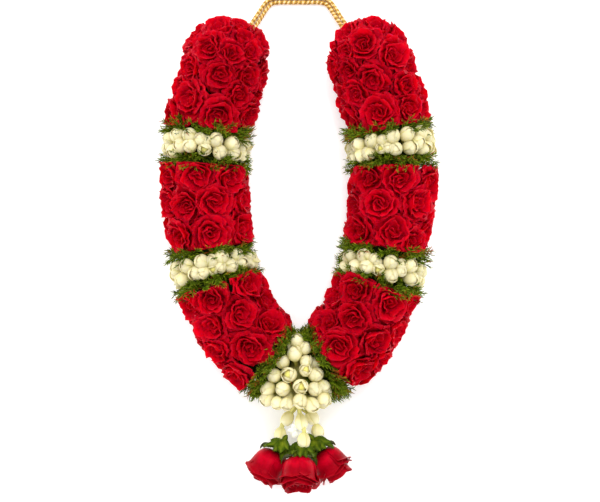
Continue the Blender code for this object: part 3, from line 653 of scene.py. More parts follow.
def tube(line, radii, sides=8, slot=0, tone=1.0):
    """A closed tube along points, its uv running round and along in metres."""
    line = np.asarray(line, float)
    ways = np.gradient(line, axis=0)
    ways /= np.linalg.norm(ways, axis=1)[:, None]
    across = unit(np.cross(ways[0], UP if abs(ways[0][2]) < 0.9 else (1, 0, 0)))
    angles = np.arange(sides) * TURN / sides
    radii = np.broadcast_to(radii, len(line))
    rings = []
    for point, way, radius in zip(line, ways, radii):
        across = unit(across - way * np.dot(across, way))
        other = np.cross(way, across)
        rings.append(point + radius * (np.cos(angles)[:, None] * across + np.sin(angles)[:, None] * other))
    count = len(line)
    points = np.concatenate([*rings, line[:1], line[-1:]])
    travelled = np.concatenate([[0], np.cumsum(np.linalg.norm(np.diff(line, axis=0), axis=1))]) * MM
    triangles, uv = [], []
    for ring in range(count - 1):
        for side in range(sides):
            after = (side + 1) % sides
            a, b = ring * sides + side, ring * sides + after
            c, d = a + sides, b + sides
            low, high = travelled[ring], travelled[ring + 1]
            left, right = side / sides, (side + 1) / sides
            triangles += [(a, b, d), (a, d, c)]
            uv += [((left, low), (right, low), (right, high)), ((left, low), (right, high), (left, high))]
    for side in range(sides):
        after = (side + 1) % sides
        triangles.append((after, side, count * sides))
        uv.append(((0.5, 0), (0.5, 0), (0.5, 0)))
        last = (count - 1) * sides
        triangles.append((last + side, last + after, count * sides + 1))
        uv.append(((0.5, travelled[-1]),) * 3)
    return Shape(points, triangles, uv, np.full(len(points), tone), np.full(len(triangles), slot))


# The garland's lines


class Line:
    """A smooth curve through chosen points, read by the distance from its first point."""

    STEPS = 24

    def __init__(self, points, before=None):
        points = np.asarray(points, float)
        first = 2 * points[0] - points[1] if before is None else np.asarray(before, float)
        padded = np.concatenate([[first], points, [2 * points[-1] - points[-2]]])
        t = (np.arange(self.STEPS) / self.STEPS)[:, None]
        spans = []
        for a, b, c, d in zip(padded, padded[1:], padded[2:], padded[3:]):
            bend = (2 * a - 5 * b + 4 * c - d) * t**2
            twist = (3 * b - a - 3 * c + d) * t**3
            spans.append(0.5 * (2 * b + (c - a) * t + bend + twist))
        self.points = np.concatenate([*spans, points[-1:]])
        steps = np.linalg.norm(np.diff(self.points, axis=0), axis=1)
        self.marks = np.concatenate([[0], np.cumsum(steps)])
        self.length = self.marks[-1]

    def at(self, distance):
        return np.stack([np.interp(distance, self.marks, along) for along in self.points.T], axis=-1)

    def frame(self, distance):
        """The point, the way on, the way to the right as seen from the front, and the way up."""
        along = unit(self.at(distance + 2) - self.at(distance - 2))
        up = unit(UP - along * along[2])
        return self.at(distance), along, np.cross(along, up), up

    def nearest(self, x, y):
        """The station nearest to a place seen from the front."""
        return self.marks[np.argmin(np.hypot(self.points[:, 0] - x, self.points[:, 1] - y))]


CORD_WAY = unit(np.subtract(CORD_EXIT, DOME_CENTRE))
LEFT_LIMB = Line((*LIMB_POINTS, DOME_CENTRE), before=mirrored(LIMB_POINTS[1]))
LIMBS = {
    "left": LEFT_LIMB,
    "right": Line(mirrored((*LIMB_POINTS, DOME_CENTRE)), before=LIMB_POINTS[1]),
}
TOP = LEFT_LIMB.length


def front_spot(limb, x, y, reach, ends):
    """Station and outward way of a flower whose middle is seen at x, y."""
    station = min(max(limb.nearest(x, y), ends[0]), min(ends[1], TOP))
    offset = np.array((x, y, 0)) - limb.at(station) * (1, 1, 0)
    share = np.linalg.norm(offset[:2]) / reach
    if share > EDGE_SHARE:
        offset *= EDGE_SHARE / share
        share = EDGE_SHARE
    return station, unit(np.array((offset[0] / reach, offset[1] / reach, math.sqrt(1 - share**2))))


def spread(places, held, pitches):
    """Picks places as near to those held and picked as each pitch in turn allows."""
    apart = np.min([np.linalg.norm(places - point, axis=1) for point in held], axis=0)
    picked = []
    for pitch in pitches:
        while apart.max() >= pitch:
            picked.append(int(np.argmin(np.where(apart >= pitch, apart, np.inf))))
            apart = np.minimum(apart, np.linalg.norm(places - places[picked[-1]], axis=1))
    return picked


def filled(limb, spots, ends, reach, pitches, step):
    """Adds spots round the limb between those given. Each is (station, way)."""
    trial = []
    for station in np.arange(ends[0], min(ends[1], TOP) + 0.1, step):
        _, _, across, up = limb.frame(station)
        for angle in np.arange(0, TURN, step / reach):
            trial.append((station, across * math.sin(angle) + up * math.cos(angle)))
    if ends[1] > TOP:
        _, along, across, up = limb.frame(TOP)
        for lean in np.arange(step / reach, math.pi / 2, step / reach):
            for angle in np.arange(0, TURN, step / reach / max(0.2, math.cos(lean))):
                out = across * math.sin(angle) + up * math.cos(angle)
                trial.append((TOP, unit(out * math.cos(lean) + along * math.sin(lean))))
    places = np.array([limb.at(station) + way * reach for station, way in trial])
    held = [limb.at(station) + way * reach for station, way in spots]
    return [*spots, *(trial[at] for at in spread(places, held, pitches))]


def room(places, at, pressing, within, sizing, pitch, least, largest):
    """Which neighbours press on a flower, and how large it grows among them."""
    apart = np.linalg.norm(places - places[at], axis=1)
    order = np.argsort(apart)
    near = [k for k in order[1 : pressing + 1] if apart[k] < within]
    return near, np.clip(apart[order[1 : sizing + 1]].mean() / pitch, least, largest)


def down_cone(y):
    """How far down the cone of buds a place lies: 0 at its apex, 1 at its foot."""
    return (CONE_APEX[1] - y) / (CONE_APEX[1] - CONE_FOOT)


def above_floor(points, lift=4.0):
    """Presses what would lie under the floor softly up to it."""
    low = points[:, 2] < lift
    points[low, 2] = lift * np.exp((points[low, 2] - lift) / (lift + 1))
    return points


def crowded(points, centre, others, firm, slack):
    """Squeezes a flower against its neighbours, each of which keeps half of the way between."""
    for other in others:
        apart = np.linalg.norm(other - centre)
        way = (other - centre) / apart
        limit = apart / 2 + slack
        reach = (points - centre) @ way
        over = reach > firm * limit
        soft = (1 - firm) * limit
        pressed = firm * limit + soft * (1 - np.exp(-(reach[over] - firm * limit) / soft))
        points[over] += (pressed - reach[over])[:, None] * way
    return points


# Petals


def bezier(knots, share):
    """A cubic curve drawn by four (radius, height) knots."""
    a, b, c, d = np.asarray(knots, float)
    share = share[:, None]
    rest = 1 - share
    return a * rest**3 + 3 * b * rest**2 * share + 3 * c * rest * share**2 + d * share**3


def blank_sheet(across, rows):
    """A flat grid, with how far each point lies to the side (-1 to 1) and up from the foot (0 to 1)."""
    bpy.ops.mesh.primitive_grid_add(x_subdivisions=across, y_subdivisions=rows, size=2)
    sheet = bpy.context.object
    flat = coordinates(sheet)
    return sheet, flat[:, 0], (flat[:, 1] + 1) / 2


def swung(x, y, z, angle):
    """Points turned about the z axis."""
    c, s = math.cos(angle), math.sin(angle)
    return np.stack([x * c - y * s, x * s + y * c, z], axis=1)


def petal(profile, angle, wide, grid, rng, lap, wave, curl=0.0, point=0.0, drop=0.2):
    """One petal sheet about the z axis: profile from foot to rim, wide to each side, lapped over the next."""
    made, u, v = blank_sheet(*grid)
    outline = 1 - drop * np.abs(u) ** 2.6 + point * np.exp(-((u / 0.22) ** 2))
    at = bezier(profile, np.clip(v * outline, 0, 1.06))
    phases = rng.uniform(0, TURN, 3)
    # A broad wave of the rim, then a fine ruffle of its edge, then the rolled lip
    rim = v**2.5
    edge = v**5
    rolled = curl * np.clip((v - 0.8) / 0.2, 0, 1) ** 2
    radius = at[:, 0] + lap * u * (0.3 + 0.7 * v)
    radius += 0.8 * wave * np.sin(3.4 * u + phases[1]) * rim
    radius += 0.38 * wave * np.sin(10.5 * u + phases[2]) * edge + rolled
    height = at[:, 1] + wave * np.sin(2.6 * u + phases[0]) * rim
    height += 0.30 * wave * np.cos(9.0 * u + phases[2]) * edge - 0.8 * rolled
    turned = angle + u * wide
    reshaped(made, np.stack([radius * np.cos(turned), radius * np.sin(turned), height], axis=1))
    return made


def petals_of(rings, rng, wall):
    """A flower from rings of petals, outermost first: (count, width, profile, grid, petal's options)."""
    shapes = []
    for ring, (count, wide, profile, grid, options) in enumerate(rings):
        start = rng.uniform(0, TURN) if ring else 0.0
        for k in range(count):
            angle = start + (k + rng.uniform(-0.10, 0.10)) * TURN / count
            grown = rng.uniform(0.90, 1.08)
            knots = np.array(profile, float) * (1, grown)
            knots[2:, 0] += rng.uniform(-0.10, 0.05) * knots[3, 0]
            sheet = petal(knots, angle, wide * rng.uniform(0.93, 1.07), grid, rng, **options)
            thickened(sheet, wall)
            shapes.append(taken(sheet, rng.uniform(0.88, 1.12)))
    return together(shapes)


def ruffled(points, per_mm, rng):
    """Points swayed softly in all three directions."""
    return points + RUFFLE * np.sin(per_mm * points[:, [1, 2, 0]] + rng.uniform(0, TURN, 3))


def open_rose(rng, wall, fine):
    """An open rose: ruffled outer petals, then a cup that closes in on a sunken heart."""
    grids = ((10, 6), (9, 6), (7, 6), (7, 5)) if fine else ((6, 4), (5, 4), (4, 4), (3, 3))
    outer = {"curl": 3.2, "wave": 1.9, "lap": 1.5, "drop": 0.24, "point": 0.07}
    second = {"curl": 2.4, "wave": 1.7, "lap": 1.5, "drop": 0.22, "point": 0.04}
    inner = {"curl": 1.3, "wave": 1.3, "lap": 1.5, "drop": 0.20}
    heart = {"curl": 0.3, "wave": 0.6, "lap": 1.0, "drop": 0.16}
    rings = [
        (5, 0.84, ((4, 0), (17, -1), (21, 9), (25.5, 7.0)), grids[0], outer),
        (5, 0.84, ((3.5, 1), (14.5, -1), (17, 12), (21.5, 12.5)), grids[1], second),
        (4, 1.02, ((3, 1), (11, 0), (13.0, 12), (15.0, 17.4)), grids[2], inner),
    ]
    if fine:
        rings += [
            (3, 1.15, ((2, 2), (6.0, 3), (9.0, 7), (8.2, 13.2)), grids[3], {**inner, "curl": 0.8}),
            (2, 1.50, ((0.8, 3), (3.2, 5), (4.4, 7), (3.0, 10.8)), grids[3], heart),
        ]
    else:
        rings.append((3, 1.15, ((2, 1), (5, 2), (7.0, 10), (6.0, 14.5)), grids[3], heart))
    rose = petals_of(rings, rng, wall)
    rose.points[:, 0] *= rng.uniform(0.92, 1.03)
    rose.points[:, :2] += np.outer(rose.points[:, 2] / 16, rng.uniform(-1.8, 1.8, 2))
    rose.points = ruffled(rose.points, 0.27, rng)
    return rose


def egg(segments, rings, profile):
    """A closed egg-shaped body about the z axis, shaped from a sphere."""
    bpy.ops.mesh.primitive_uv_sphere_add(segments=segments, ring_count=rings, radius=1)
    made = bpy.context.object
    points = coordinates(made)
    share = np.arccos(np.clip(-points[:, 2], -1, 1)) / math.pi
    at = bezier(profile, share)
    turned = np.arctan2(points[:, 1], points[:, 0])
    radius = at[:, 0] * np.sqrt(np.clip(np.sin(math.pi * share), 0, 1))
    reshaped(made, np.stack([radius * np.cos(turned), radius * np.sin(turned), at[:, 1]], axis=1))
    return taken(made, along=(at[:, 1].min(), at[:, 1].max()))


def bud_profile(long, width, shares, foot=0.0):
    """Knots from shares of half a bud's width and of its length, the first one raised by foot."""
    knots = np.array(shares, float) * (width / 2, long)
    knots[0, 1] += foot
    return knots


def closed_bud(rng, long, width, fine):
    """A tuberose bud: three waxy tepals folded over the inner ones."""
    body = bud_profile(long, width, ((0.40, 0), (0.9, 0.2), (1.16, 0.85), (0.5, 0.97)))
    tepal = bud_profile(long, width, ((0.28, 0), (1.0, 0.16), (1.42, 0.80), (0.42, 0.99)), 0.3)
    inside = egg(10, 7, body) if fine else egg(6, 5, body)
    lapped = {"wave": 0.15, "lap": 0.30, "drop": 0.14, "curl": -0.1}
    tepals = petals_of([(3, 1.22, tepal, (5, 5) if fine else (3, 3), lapped)], rng, TEPAL_WALL)
    neck = tube([(0, 0, -9), (0, 0, -3), (0, 0, 3)], (2.3, 2.8, 3.6), sides=5)
    neck.uv[:, :, 1] = NECK_GREEN
    return together([inside, tepals, neck])


def opening_bud(rng, long, width):
    """A tuberose bud that has begun to open, with its green-yellow throat showing."""
    flared = {"wave": 0.3, "lap": 0.5, "drop": 0.20, "curl": 0.5, "point": 0.04}
    folded = {"wave": 0.2, "lap": 0.5, "drop": 0.16, "curl": 0.1}
    outer = bud_profile(long, width, ((0.3, 0), (1.0, 0.15), (1.32, 0.70), (0.78, 0.90)), 0.3)
    inner = bud_profile(long, width, ((0.25, 0), (0.9, 0.2), (1.26, 0.80), (0.44, 0.95)), 0.5)
    throat = egg(10, 7, bud_profile(long, width, ((0.2, 0.2), (0.8, 0.3), (0.98, 0.82), (0.1, 0.86))))
    throat.uv[:, :, 1] = 0.5 - 0.44 * throat.uv[:, :, 1] ** 4
    # Painted light: the throat is toned brighter against the shade inside the opening bud
    throat.tone *= 1.25
    rings = [(3, 1.15, outer, (6, 6), flared), (3, 1.00, inner, (6, 6), folded)]
    return together([petals_of(rings, rng, TEPAL_WALL), throat])


def bud_models(rng, sizes):
    """Buds to copy: closed ones, plainer ones for the back, and one that has begun to open."""
    long, width = sizes.bud_length / MM, sizes.bud_width / MM
    closed = [closed_bud(rng, long, width, True) for _ in range(3)]
    plain = [closed_bud(rng, long, width, False) for _ in range(2)]
    return closed, plain, [opening_bud(rng, long, width)]


def bud_model(models, opened, way, rng):
    """The model of a bud that points along way."""
    closed, plain, opening = models
    kinds = opening if opened else closed if way[2] > -0.3 else plain
    return kinds[rng.integers(len(kinds))]


# Needle leaf


def needle(long, width):
    """One needle: a three-sided cone drawn out to a slightly bent tip."""
    bpy.ops.mesh.primitive_cone_add(vertices=3, radius1=width / 2, radius2=width * 0.38, depth=0.55 * long)
    made = bpy.context.object
    points = coordinates(made)
    points[:, 2] += 0.275 * long
    reshaped(made, points)
    active_alone(made)
    bpy.ops.object.mode_set(mode="EDIT")
    bpy.ops.mesh.select_all(action="DESELECT")
    bpy.ops.object.mode_set(mode="OBJECT")
    for face in made.data.polygons:
        face.select = face.normal.z > 0.9
    bpy.ops.object.mode_set(mode="EDIT")
    bpy.ops.mesh.extrude_region_move(TRANSFORM_OT_translate={"value": (0.10 * long, 0, 0.45 * long)})
    bpy.ops.mesh.merge(type="CENTER")
    bpy.ops.object.mode_set(mode="OBJECT")
    return taken(made, along=(0, long))


def sprig(rng, long, width):
    """A flat spray of needles along a thin stem that points up the z axis."""
    one = needle(long, width)
    reach = SPRIG_REACH * long
    bend = rng.uniform(-0.12, 0.12)
    share = np.linspace(0, 1, 5)
    stem = np.stack([bend * reach * share**2, 0 * share, reach * share], axis=1)
    shapes = [tube(stem, np.linspace(0.5, 0.25, 5) * width, sides=3, tone=0.75)]
    shapes[0].uv[:, :, 1] = 0.3
    for k in range(SPRIG_NEEDLES):
        height = reach * (0.12 + 0.86 * k / (SPRIG_NEEDLES - 1))
        side = 1 if k % 2 else -1
        lean = math.radians(rng.uniform(24, 52)) * side
        if k == SPRIG_NEEDLES - 1:
            lean *= 0.2
        tip = rng.uniform(-0.35, 0.35)
        way = unit((math.sin(lean), tip, math.cos(lean)))
        size = rng.uniform(0.75, 1.1) * (1 - 0.25 * k / SPRIG_NEEDLES)
        axes = frame_about(way, rng.uniform(0, TURN)) * size
        shapes.append(one.moved(axes, (bend * height**2 / reach, 0, height), rng.uniform(0.75, 1.15)))
    return together(shapes)


# Operators


class GarlandOperator(Operator):
    bl_options = {"REGISTER", "UNDO"}

    @property
    def sizes(self):
        return bpy.context.scene.garland_sizes

    def shades(self, *names):
        """Chosen colours as plain red, green and blue."""
        return [tuple(getattr(bpy.context.scene.garland_colours, name)) for name in names]

    def bud_material(self):
        return once("Tuberose tepal", tuberose_tepal, *self.shades("bud_base", "bud"))


def once(name, make, *values):
    """A material made the first time that it is asked for."""
    return bpy.data.materials.get(name) or make(name, *values)


def stem_material():
    return once("Cut stems", cut_stems, linear("30420E"))


class GARLAND_OT_stage(GarlandOperator):
    """Adds the pale floor, the soft studio light and the camera"""

    bl_idname = "garland.stage"
    bl_label = "Stage"

    def execute(self, context):
        bpy.ops.object.select_all(action="DESELECT")
        bpy.ops.mesh.primitive_plane_add(size=14, location=(0, 0, -0.0005))
        floor = context.object
        floor.name = "studio_floor"
        floor.data.materials.append(once("Studio paper", paper_floor, *self.shades("floor")))

        for name, (energy, wide, tilt) in SUNS.items():
            sun = bpy.data.lights.new(name, "SUN")
            sun.energy = energy
            sun.angle = math.radians(wide)
            key = bpy.data.objects.new(name, sun)
            key.rotation_euler = (math.radians(tilt[0]), math.radians(tilt[1]), 0)
            context.scene.collection.objects.link(key)

        world = bpy.data.worlds.new("Studio")
        world.use_nodes = True
        sky = world.node_tree.nodes["Background"].inputs
        sky["Color"].default_value = (*linear("FFFFFF"), 1)
        sky["Strength"].default_value = WORLD_STRENGTH
        context.scene.world = world
        context.scene.view_settings.view_transform = "Standard"

        lens = bpy.data.cameras.new("Camera")
        lens.sensor_width = SENSOR_WIDTH
        lens.lens = LENS
        camera = bpy.data.objects.new("camera", lens)
        camera.location = CAMERA_PLACE
        context.scene.collection.objects.link(camera)
        context.scene.camera = camera
        return {"FINISHED"}


class GARLAND_OT_cord(GarlandOperator):
    """Adds the doubled gold neck cord"""

    bl_idname = "garland.cord"
    bl_label = "Neck cord"

    def execute(self, context):
        half = [CORD_EXIT + CORD_WAY * ahead for ahead in (END_GAP - CORD_INSIDE, -8, 4)]
        half += [np.array(point, float) for point in CORD_MIDDLE]
        route = Line(half + [mirrored(point) for point in reversed(half)])
        stations = np.arange(0, route.length, 1.6)
        line = route.at(stations)
        width = self.sizes.cord_width / MM
        strand = width / 4
        # Two strands side by side rest lower than a round cord of their whole width
        resting = np.clip((CORD_FREE - line[:, 2]) / (CORD_FREE - CORD_LIE), 0, 1)
        middle = line - np.outer(resting * (width / 2 - strand - CLEARANCE), UP)
        ways = np.gradient(middle, axis=0)
        ways /= np.linalg.norm(ways, axis=1)[:, None]
        beside = np.cross(ways, UP)
        beside /= np.linalg.norm(beside, axis=1)[:, None]
        above = np.cross(beside, ways)
        pitch = self.sizes.ply_pitch / MM
        shapes = []
        for side in (-1, 1):
            centre = middle + beside * side * strand
            for ply in range(PLIES):
                turn = (side * stations / pitch * TURN + ply * TURN / PLIES)[:, None]
                offset = PLY_OFFSET * strand * (beside * np.cos(turn) + above * np.sin(turn))
                shapes.append(tube(centre + offset, PLY_RADIUS * strand))
        gold = once("Zari yarn", zari_yarn, *self.shades("gold"))
        cord = piece("gold_neck_cord", shapes, [gold], "neck_cord")
        return {"FINISHED"}


class GARLAND_OT_roses(GarlandOperator):
    """Adds the open roses of both limbs"""

    bl_idname = "garland.roses"
    bl_label = "Limb roses"

    def execute(self, context):
        rng = np.random.default_rng(SEEDS["roses"])
        wall = self.sizes.petal_wall / MM
        fine = [open_rose(rng, wall, True) for _ in range(5)]
        plain = [open_rose(rng, 1.3 * wall, False) for _ in range(3)]
        base = self.sizes.bloom_base / MM
        reach = base + ROSE_MIDDLE
        size = self.sizes.bloom_reach / MM / MODEL_REACH
        # The foot colour is painted shade and the rim colour a painted highlight
        shades = self.shades("rose_deep", "rose", "rose_rim")
        materials = [once("Rose petal", rose_petal, *shades, False), stem_material()]
        for (section, side), seen in FRONT_ROSES.items():
            limb = LIMBS[side]
            ends = ROSES[section]
            spots = [front_spot(limb, x, y, reach, ends) for x, y in seen]
            inner = (ends[0] + ROSE_INSET, ends[1] - ROSE_INSET)
            spots = filled(limb, spots, inner, reach, ROSE_PITCHES, 5.0)
            middles = np.array([limb.at(station) + way * reach for station, way in spots])
            shapes = []
            for at, (station, way) in enumerate(spots):
                near, grown = room(middles, at, *ROSE_ROOM)
                near = [middles[k] for k in near]
                near += self.walls(middles[at], limb, station, way, ends, SIDES[side], reach, rng)
                grown *= size
                # Plainer roses lie on the back
                kinds = fine if way[2] > 0.02 else plain
                model = kinds[rng.integers(len(kinds))]
                # Roses on the sides turn a little to the front
                raised = 0.3 * max(0, 1 - abs(way[2] - 0.1) / 0.5)
                leaned = unit(way + rng.uniform(-0.18, 0.18, 3) + (0, -0.14, raised))
                foot = limb.at(station) + way * (base + rng.uniform(-2.5, 1.5) - 9 * max(0, 0.85 - grown))
                axes = frame_about(leaned, rng.uniform(0, TURN)) * grown
                bloom = model.moved(axes, foot, rng.uniform(0.90, 1.08))
                bloom.points = ruffled(crowded(bloom.points, middles[at], near, *ROSE_PRESS), 0.72, rng)
                bloom.points = above_floor(bloom.points)
                shapes.append(bloom)
            core = limb.at(np.linspace(ends[0], min(ends[1], TOP), 12))
            radii = np.full(12, base - ROSE_CORE_DEPTH)
            if ends[1] > TOP:
                lean = np.linspace(0, 1, 6)[1:] * 1.45
                core = np.concatenate([core, core[-1] + np.outer(np.sin(lean) * 32, limb.frame(TOP)[1])])
                radii = np.concatenate([radii, (base - ROSE_CORE_DEPTH) * np.cos(lean)])
            shapes.append(tube(core, radii, sides=20, slot=1))
            name = f"{section}_roses_{side}"
            piece(f"{name}_petals", shapes, materials, name)
        return {"FINISHED"}

    def walls(self, middle, limb, station, way, ends, side, reach, rng):
        """What presses on a rose besides its neighbours, each as the rose's middle mirrored in it."""
        walls = []
        along = limb.frame(station)[1]
        for end, sign in zip(ends, (-1, 1)):
            room = sign * (end - station)
            if room < 28 and end < TOP:
                walls.append(middle + sign * along * 2 * max(room - 1, 11))
        # The limbs leave a notch between them above the cluster
        clear = middle[0] * side - NOTCH
        if clear < 26:
            walls.append(middle - np.array((side * 2 * max(clear, 5), 0, 0)))
        # The limb's outline as seen from the front
        flat = np.linalg.norm(way[:2])
        if flat > 0.7:
            outwards = np.array((way[0], way[1], 0)) / flat
            walls.append(middle + outwards * 2 * max(4, rng.uniform(*LIMB_OUTLINE) - reach * flat))
        return walls


class GARLAND_OT_bands(GarlandOperator):
    """Adds the bands of tuberose buds on both limbs"""

    bl_idname = "garland.bands"
    bl_label = "Bud bands"

    def execute(self, context):
        rng = np.random.default_rng(SEEDS["bands"])
        models = bud_models(rng, self.sizes)
        long = self.sizes.bud_length / MM
        materials = [self.bud_material(), stem_material()]
        for (band, side), seen in FRONT_BUDS.items():
            limb = LIMBS[side]
            ends = BANDS[band]
            middle = sum(ends) / 2
            spots = [front_spot(limb, spot[0], spot[1], BAND_REACH - 2, ends) for spot in seen]
            spots = [(middle + 0.84 * (station - middle), way) for station, way in spots]
            spots = filled(limb, spots, (ends[0] + 8, ends[1] - 8), BAND_REACH, BAND_PITCHES, 2.5)
            places = np.array([limb.at(station) + way * BAND_REACH for station, way in spots])
            shapes = []
            for at, (station, way) in enumerate(spots):
                near, grown = room(places, at, *BAND_ROOM)
                near = [places[k] - spots[k][1] * 4 for k in near]
                # The two rows fan out over the needle leaf
                fan = 0.8 * (station - middle) / (ends[1] - middle)
                leaned = unit(way + limb.frame(station)[1] * fan + rng.uniform(-0.08, 0.08, 3))
                model = bud_model(models, at < len(seen) and len(seen[at]) > 2, way, rng)
                foot = limb.at(station) + way * (BAND_REACH - 4) - leaned * long * grown / 2
                axes = frame_about(leaned, rng.uniform(0, TURN)) * grown
                bud = model.moved(axes, foot, rng.uniform(0.93, 1.05))
                bud.points = crowded(bud.points, places[at] - way * 4, near, *BAND_PRESS)
                bud.points = above_floor(bud.points, 2.5)
                shapes.append(bud)
            core = limb.at(np.linspace(ends[0], ends[1], 5))
            shapes.append(tube(core, 33.0, sides=20, slot=1))
            name = f"{band}_bud_band_{side}"
            piece(f"{name}_tuberose", shapes, materials, name)
        return {"FINISHED"}


class GARLAND_OT_leaf(GarlandOperator):
    """Adds the fringes of needle leaf and the collars on the limb ends"""

    bl_idname = "garland.leaf"
    bl_label = "Needle leaf"

    def execute(self, context):
        rng = np.random.default_rng(SEEDS["leaf"])
        long = self.sizes.needle_length / MM
        width = self.sizes.needle_width / MM
        sprigs = [sprig(rng, long, width) for _ in range(6)]
        shades = self.shades("leaf", "leaf_light", "leaf_brown")
        materials = [once("Needle leaf", green_leaf, *shades, 260.0), stem_material()]
        for side, limb in LIMBS.items():
            for name, ends in {**FRINGES, "limb_end_leaf": LEAF_END}.items():
                collar = name == "limb_end_leaf"
                # Which way along the limb the buds lie
                inward = 1 if name.endswith("below") else -1
                count = int(self.sizes.sprigs * (COLLAR_SHARE if collar else 1))
                shapes = []
                for k in range(count + count // 2):
                    # The last third is a low bed that hides the core
                    bed = k >= count
                    if bed:
                        angle = rng.uniform(0, TURN)
                    else:
                        angle = (k + rng.uniform(-0.5, 0.5)) * TURN / count * SPRIG_ROUNDS
                    station = rng.uniform(*ends) + (inward * rng.uniform(2, 9) if bed else 0)
                    centre, along, across, up = limb.frame(station)
                    out = across * math.sin(angle) + up * math.cos(angle)
                    ahead = rng.uniform(-0.6, 0.6) - (0 if bed else 0.16 * inward)
                    rise = rng.uniform(0.15, 0.45) if bed else rng.uniform(0.4, 0.9)
                    way = unit(out * rise + along * ahead + np.cross(along, out) * rng.uniform(-0.9, 0.9))
                    grown = rng.uniform(0.8, 1.15)
                    # The tip's distance from the fringe's middle, and how far it passes the fringe's end
                    tip = SPRIG_REACH * long * grown * (way @ along) + (station - sum(ends) / 2)
                    beyond = abs(tip) - (ends[1] - ends[0]) / 2
                    over_roses = tip * inward < 0
                    if beyond > (COLLAR_SPILL if collar else ROSE_SPILL if over_roses else BUD_SPILL):
                        continue
                    seat = rng.uniform(33, 38) if bed else rng.uniform(39, 48)
                    if collar:
                        seat -= np.interp(station, (10, 30), (10, 3))
                    tone = rng.uniform(0.65, 1.15)
                    if not bed and rng.random() < (0.3 if beyond > -2 and over_roses else 0.04):
                        tone = DRY_TONE
                    shape = sprigs[rng.integers(len(sprigs))]
                    axes = frame_about(way, rng.uniform(0, TURN)) * grown
                    laid = shape.moved(axes, centre + out * seat, tone)
                    if collar and self.in_pendant(laid.points, SIDES[side]):
                        continue
                    if np.linalg.norm(laid.points - centre, axis=1).max() > LEAF_OUTLINE:
                        continue
                    laid.points = above_floor(laid.points, 3.0)
                    shapes.append(laid)
                core = limb.at(np.linspace(ends[0], ends[1], 4))
                radii = (20.0, 26.0, 31.0, 33.0) if collar else 34.0
                shapes.append(tube(core, radii, sides=20, slot=1))
                node = f"{name}_{side}"
                piece(f"{node}_needles", shapes, materials, node)
        return {"FINISHED"}

    def in_pendant(self, points, side):
        """Whether a sprig would cross the garland's middle or cover the cone of buds."""
        across, y = points[:, 0] * side, points[:, 1]
        if (across < -4).any() or (y < -194).any():
            return True
        # The notch between the limbs stays open
        if ((y > -93) & (across < 3)).any() or ((y > -86) & (across < 13)).any():
            return True
        share = down_cone(y)
        half = np.interp(share, CONE_STEPS, CONE_HALF_WIDTHS)
        surface = CONE_APEX[2] + (28 + 12 * share) * np.sqrt(np.clip(1 - (across / (half + 11)) ** 2, 0, 1))
        inside = (across < half + 5 - 4 * share * side) & (share > -0.05) & (points[:, 2] > surface)
        return inside.mean() > 0.12


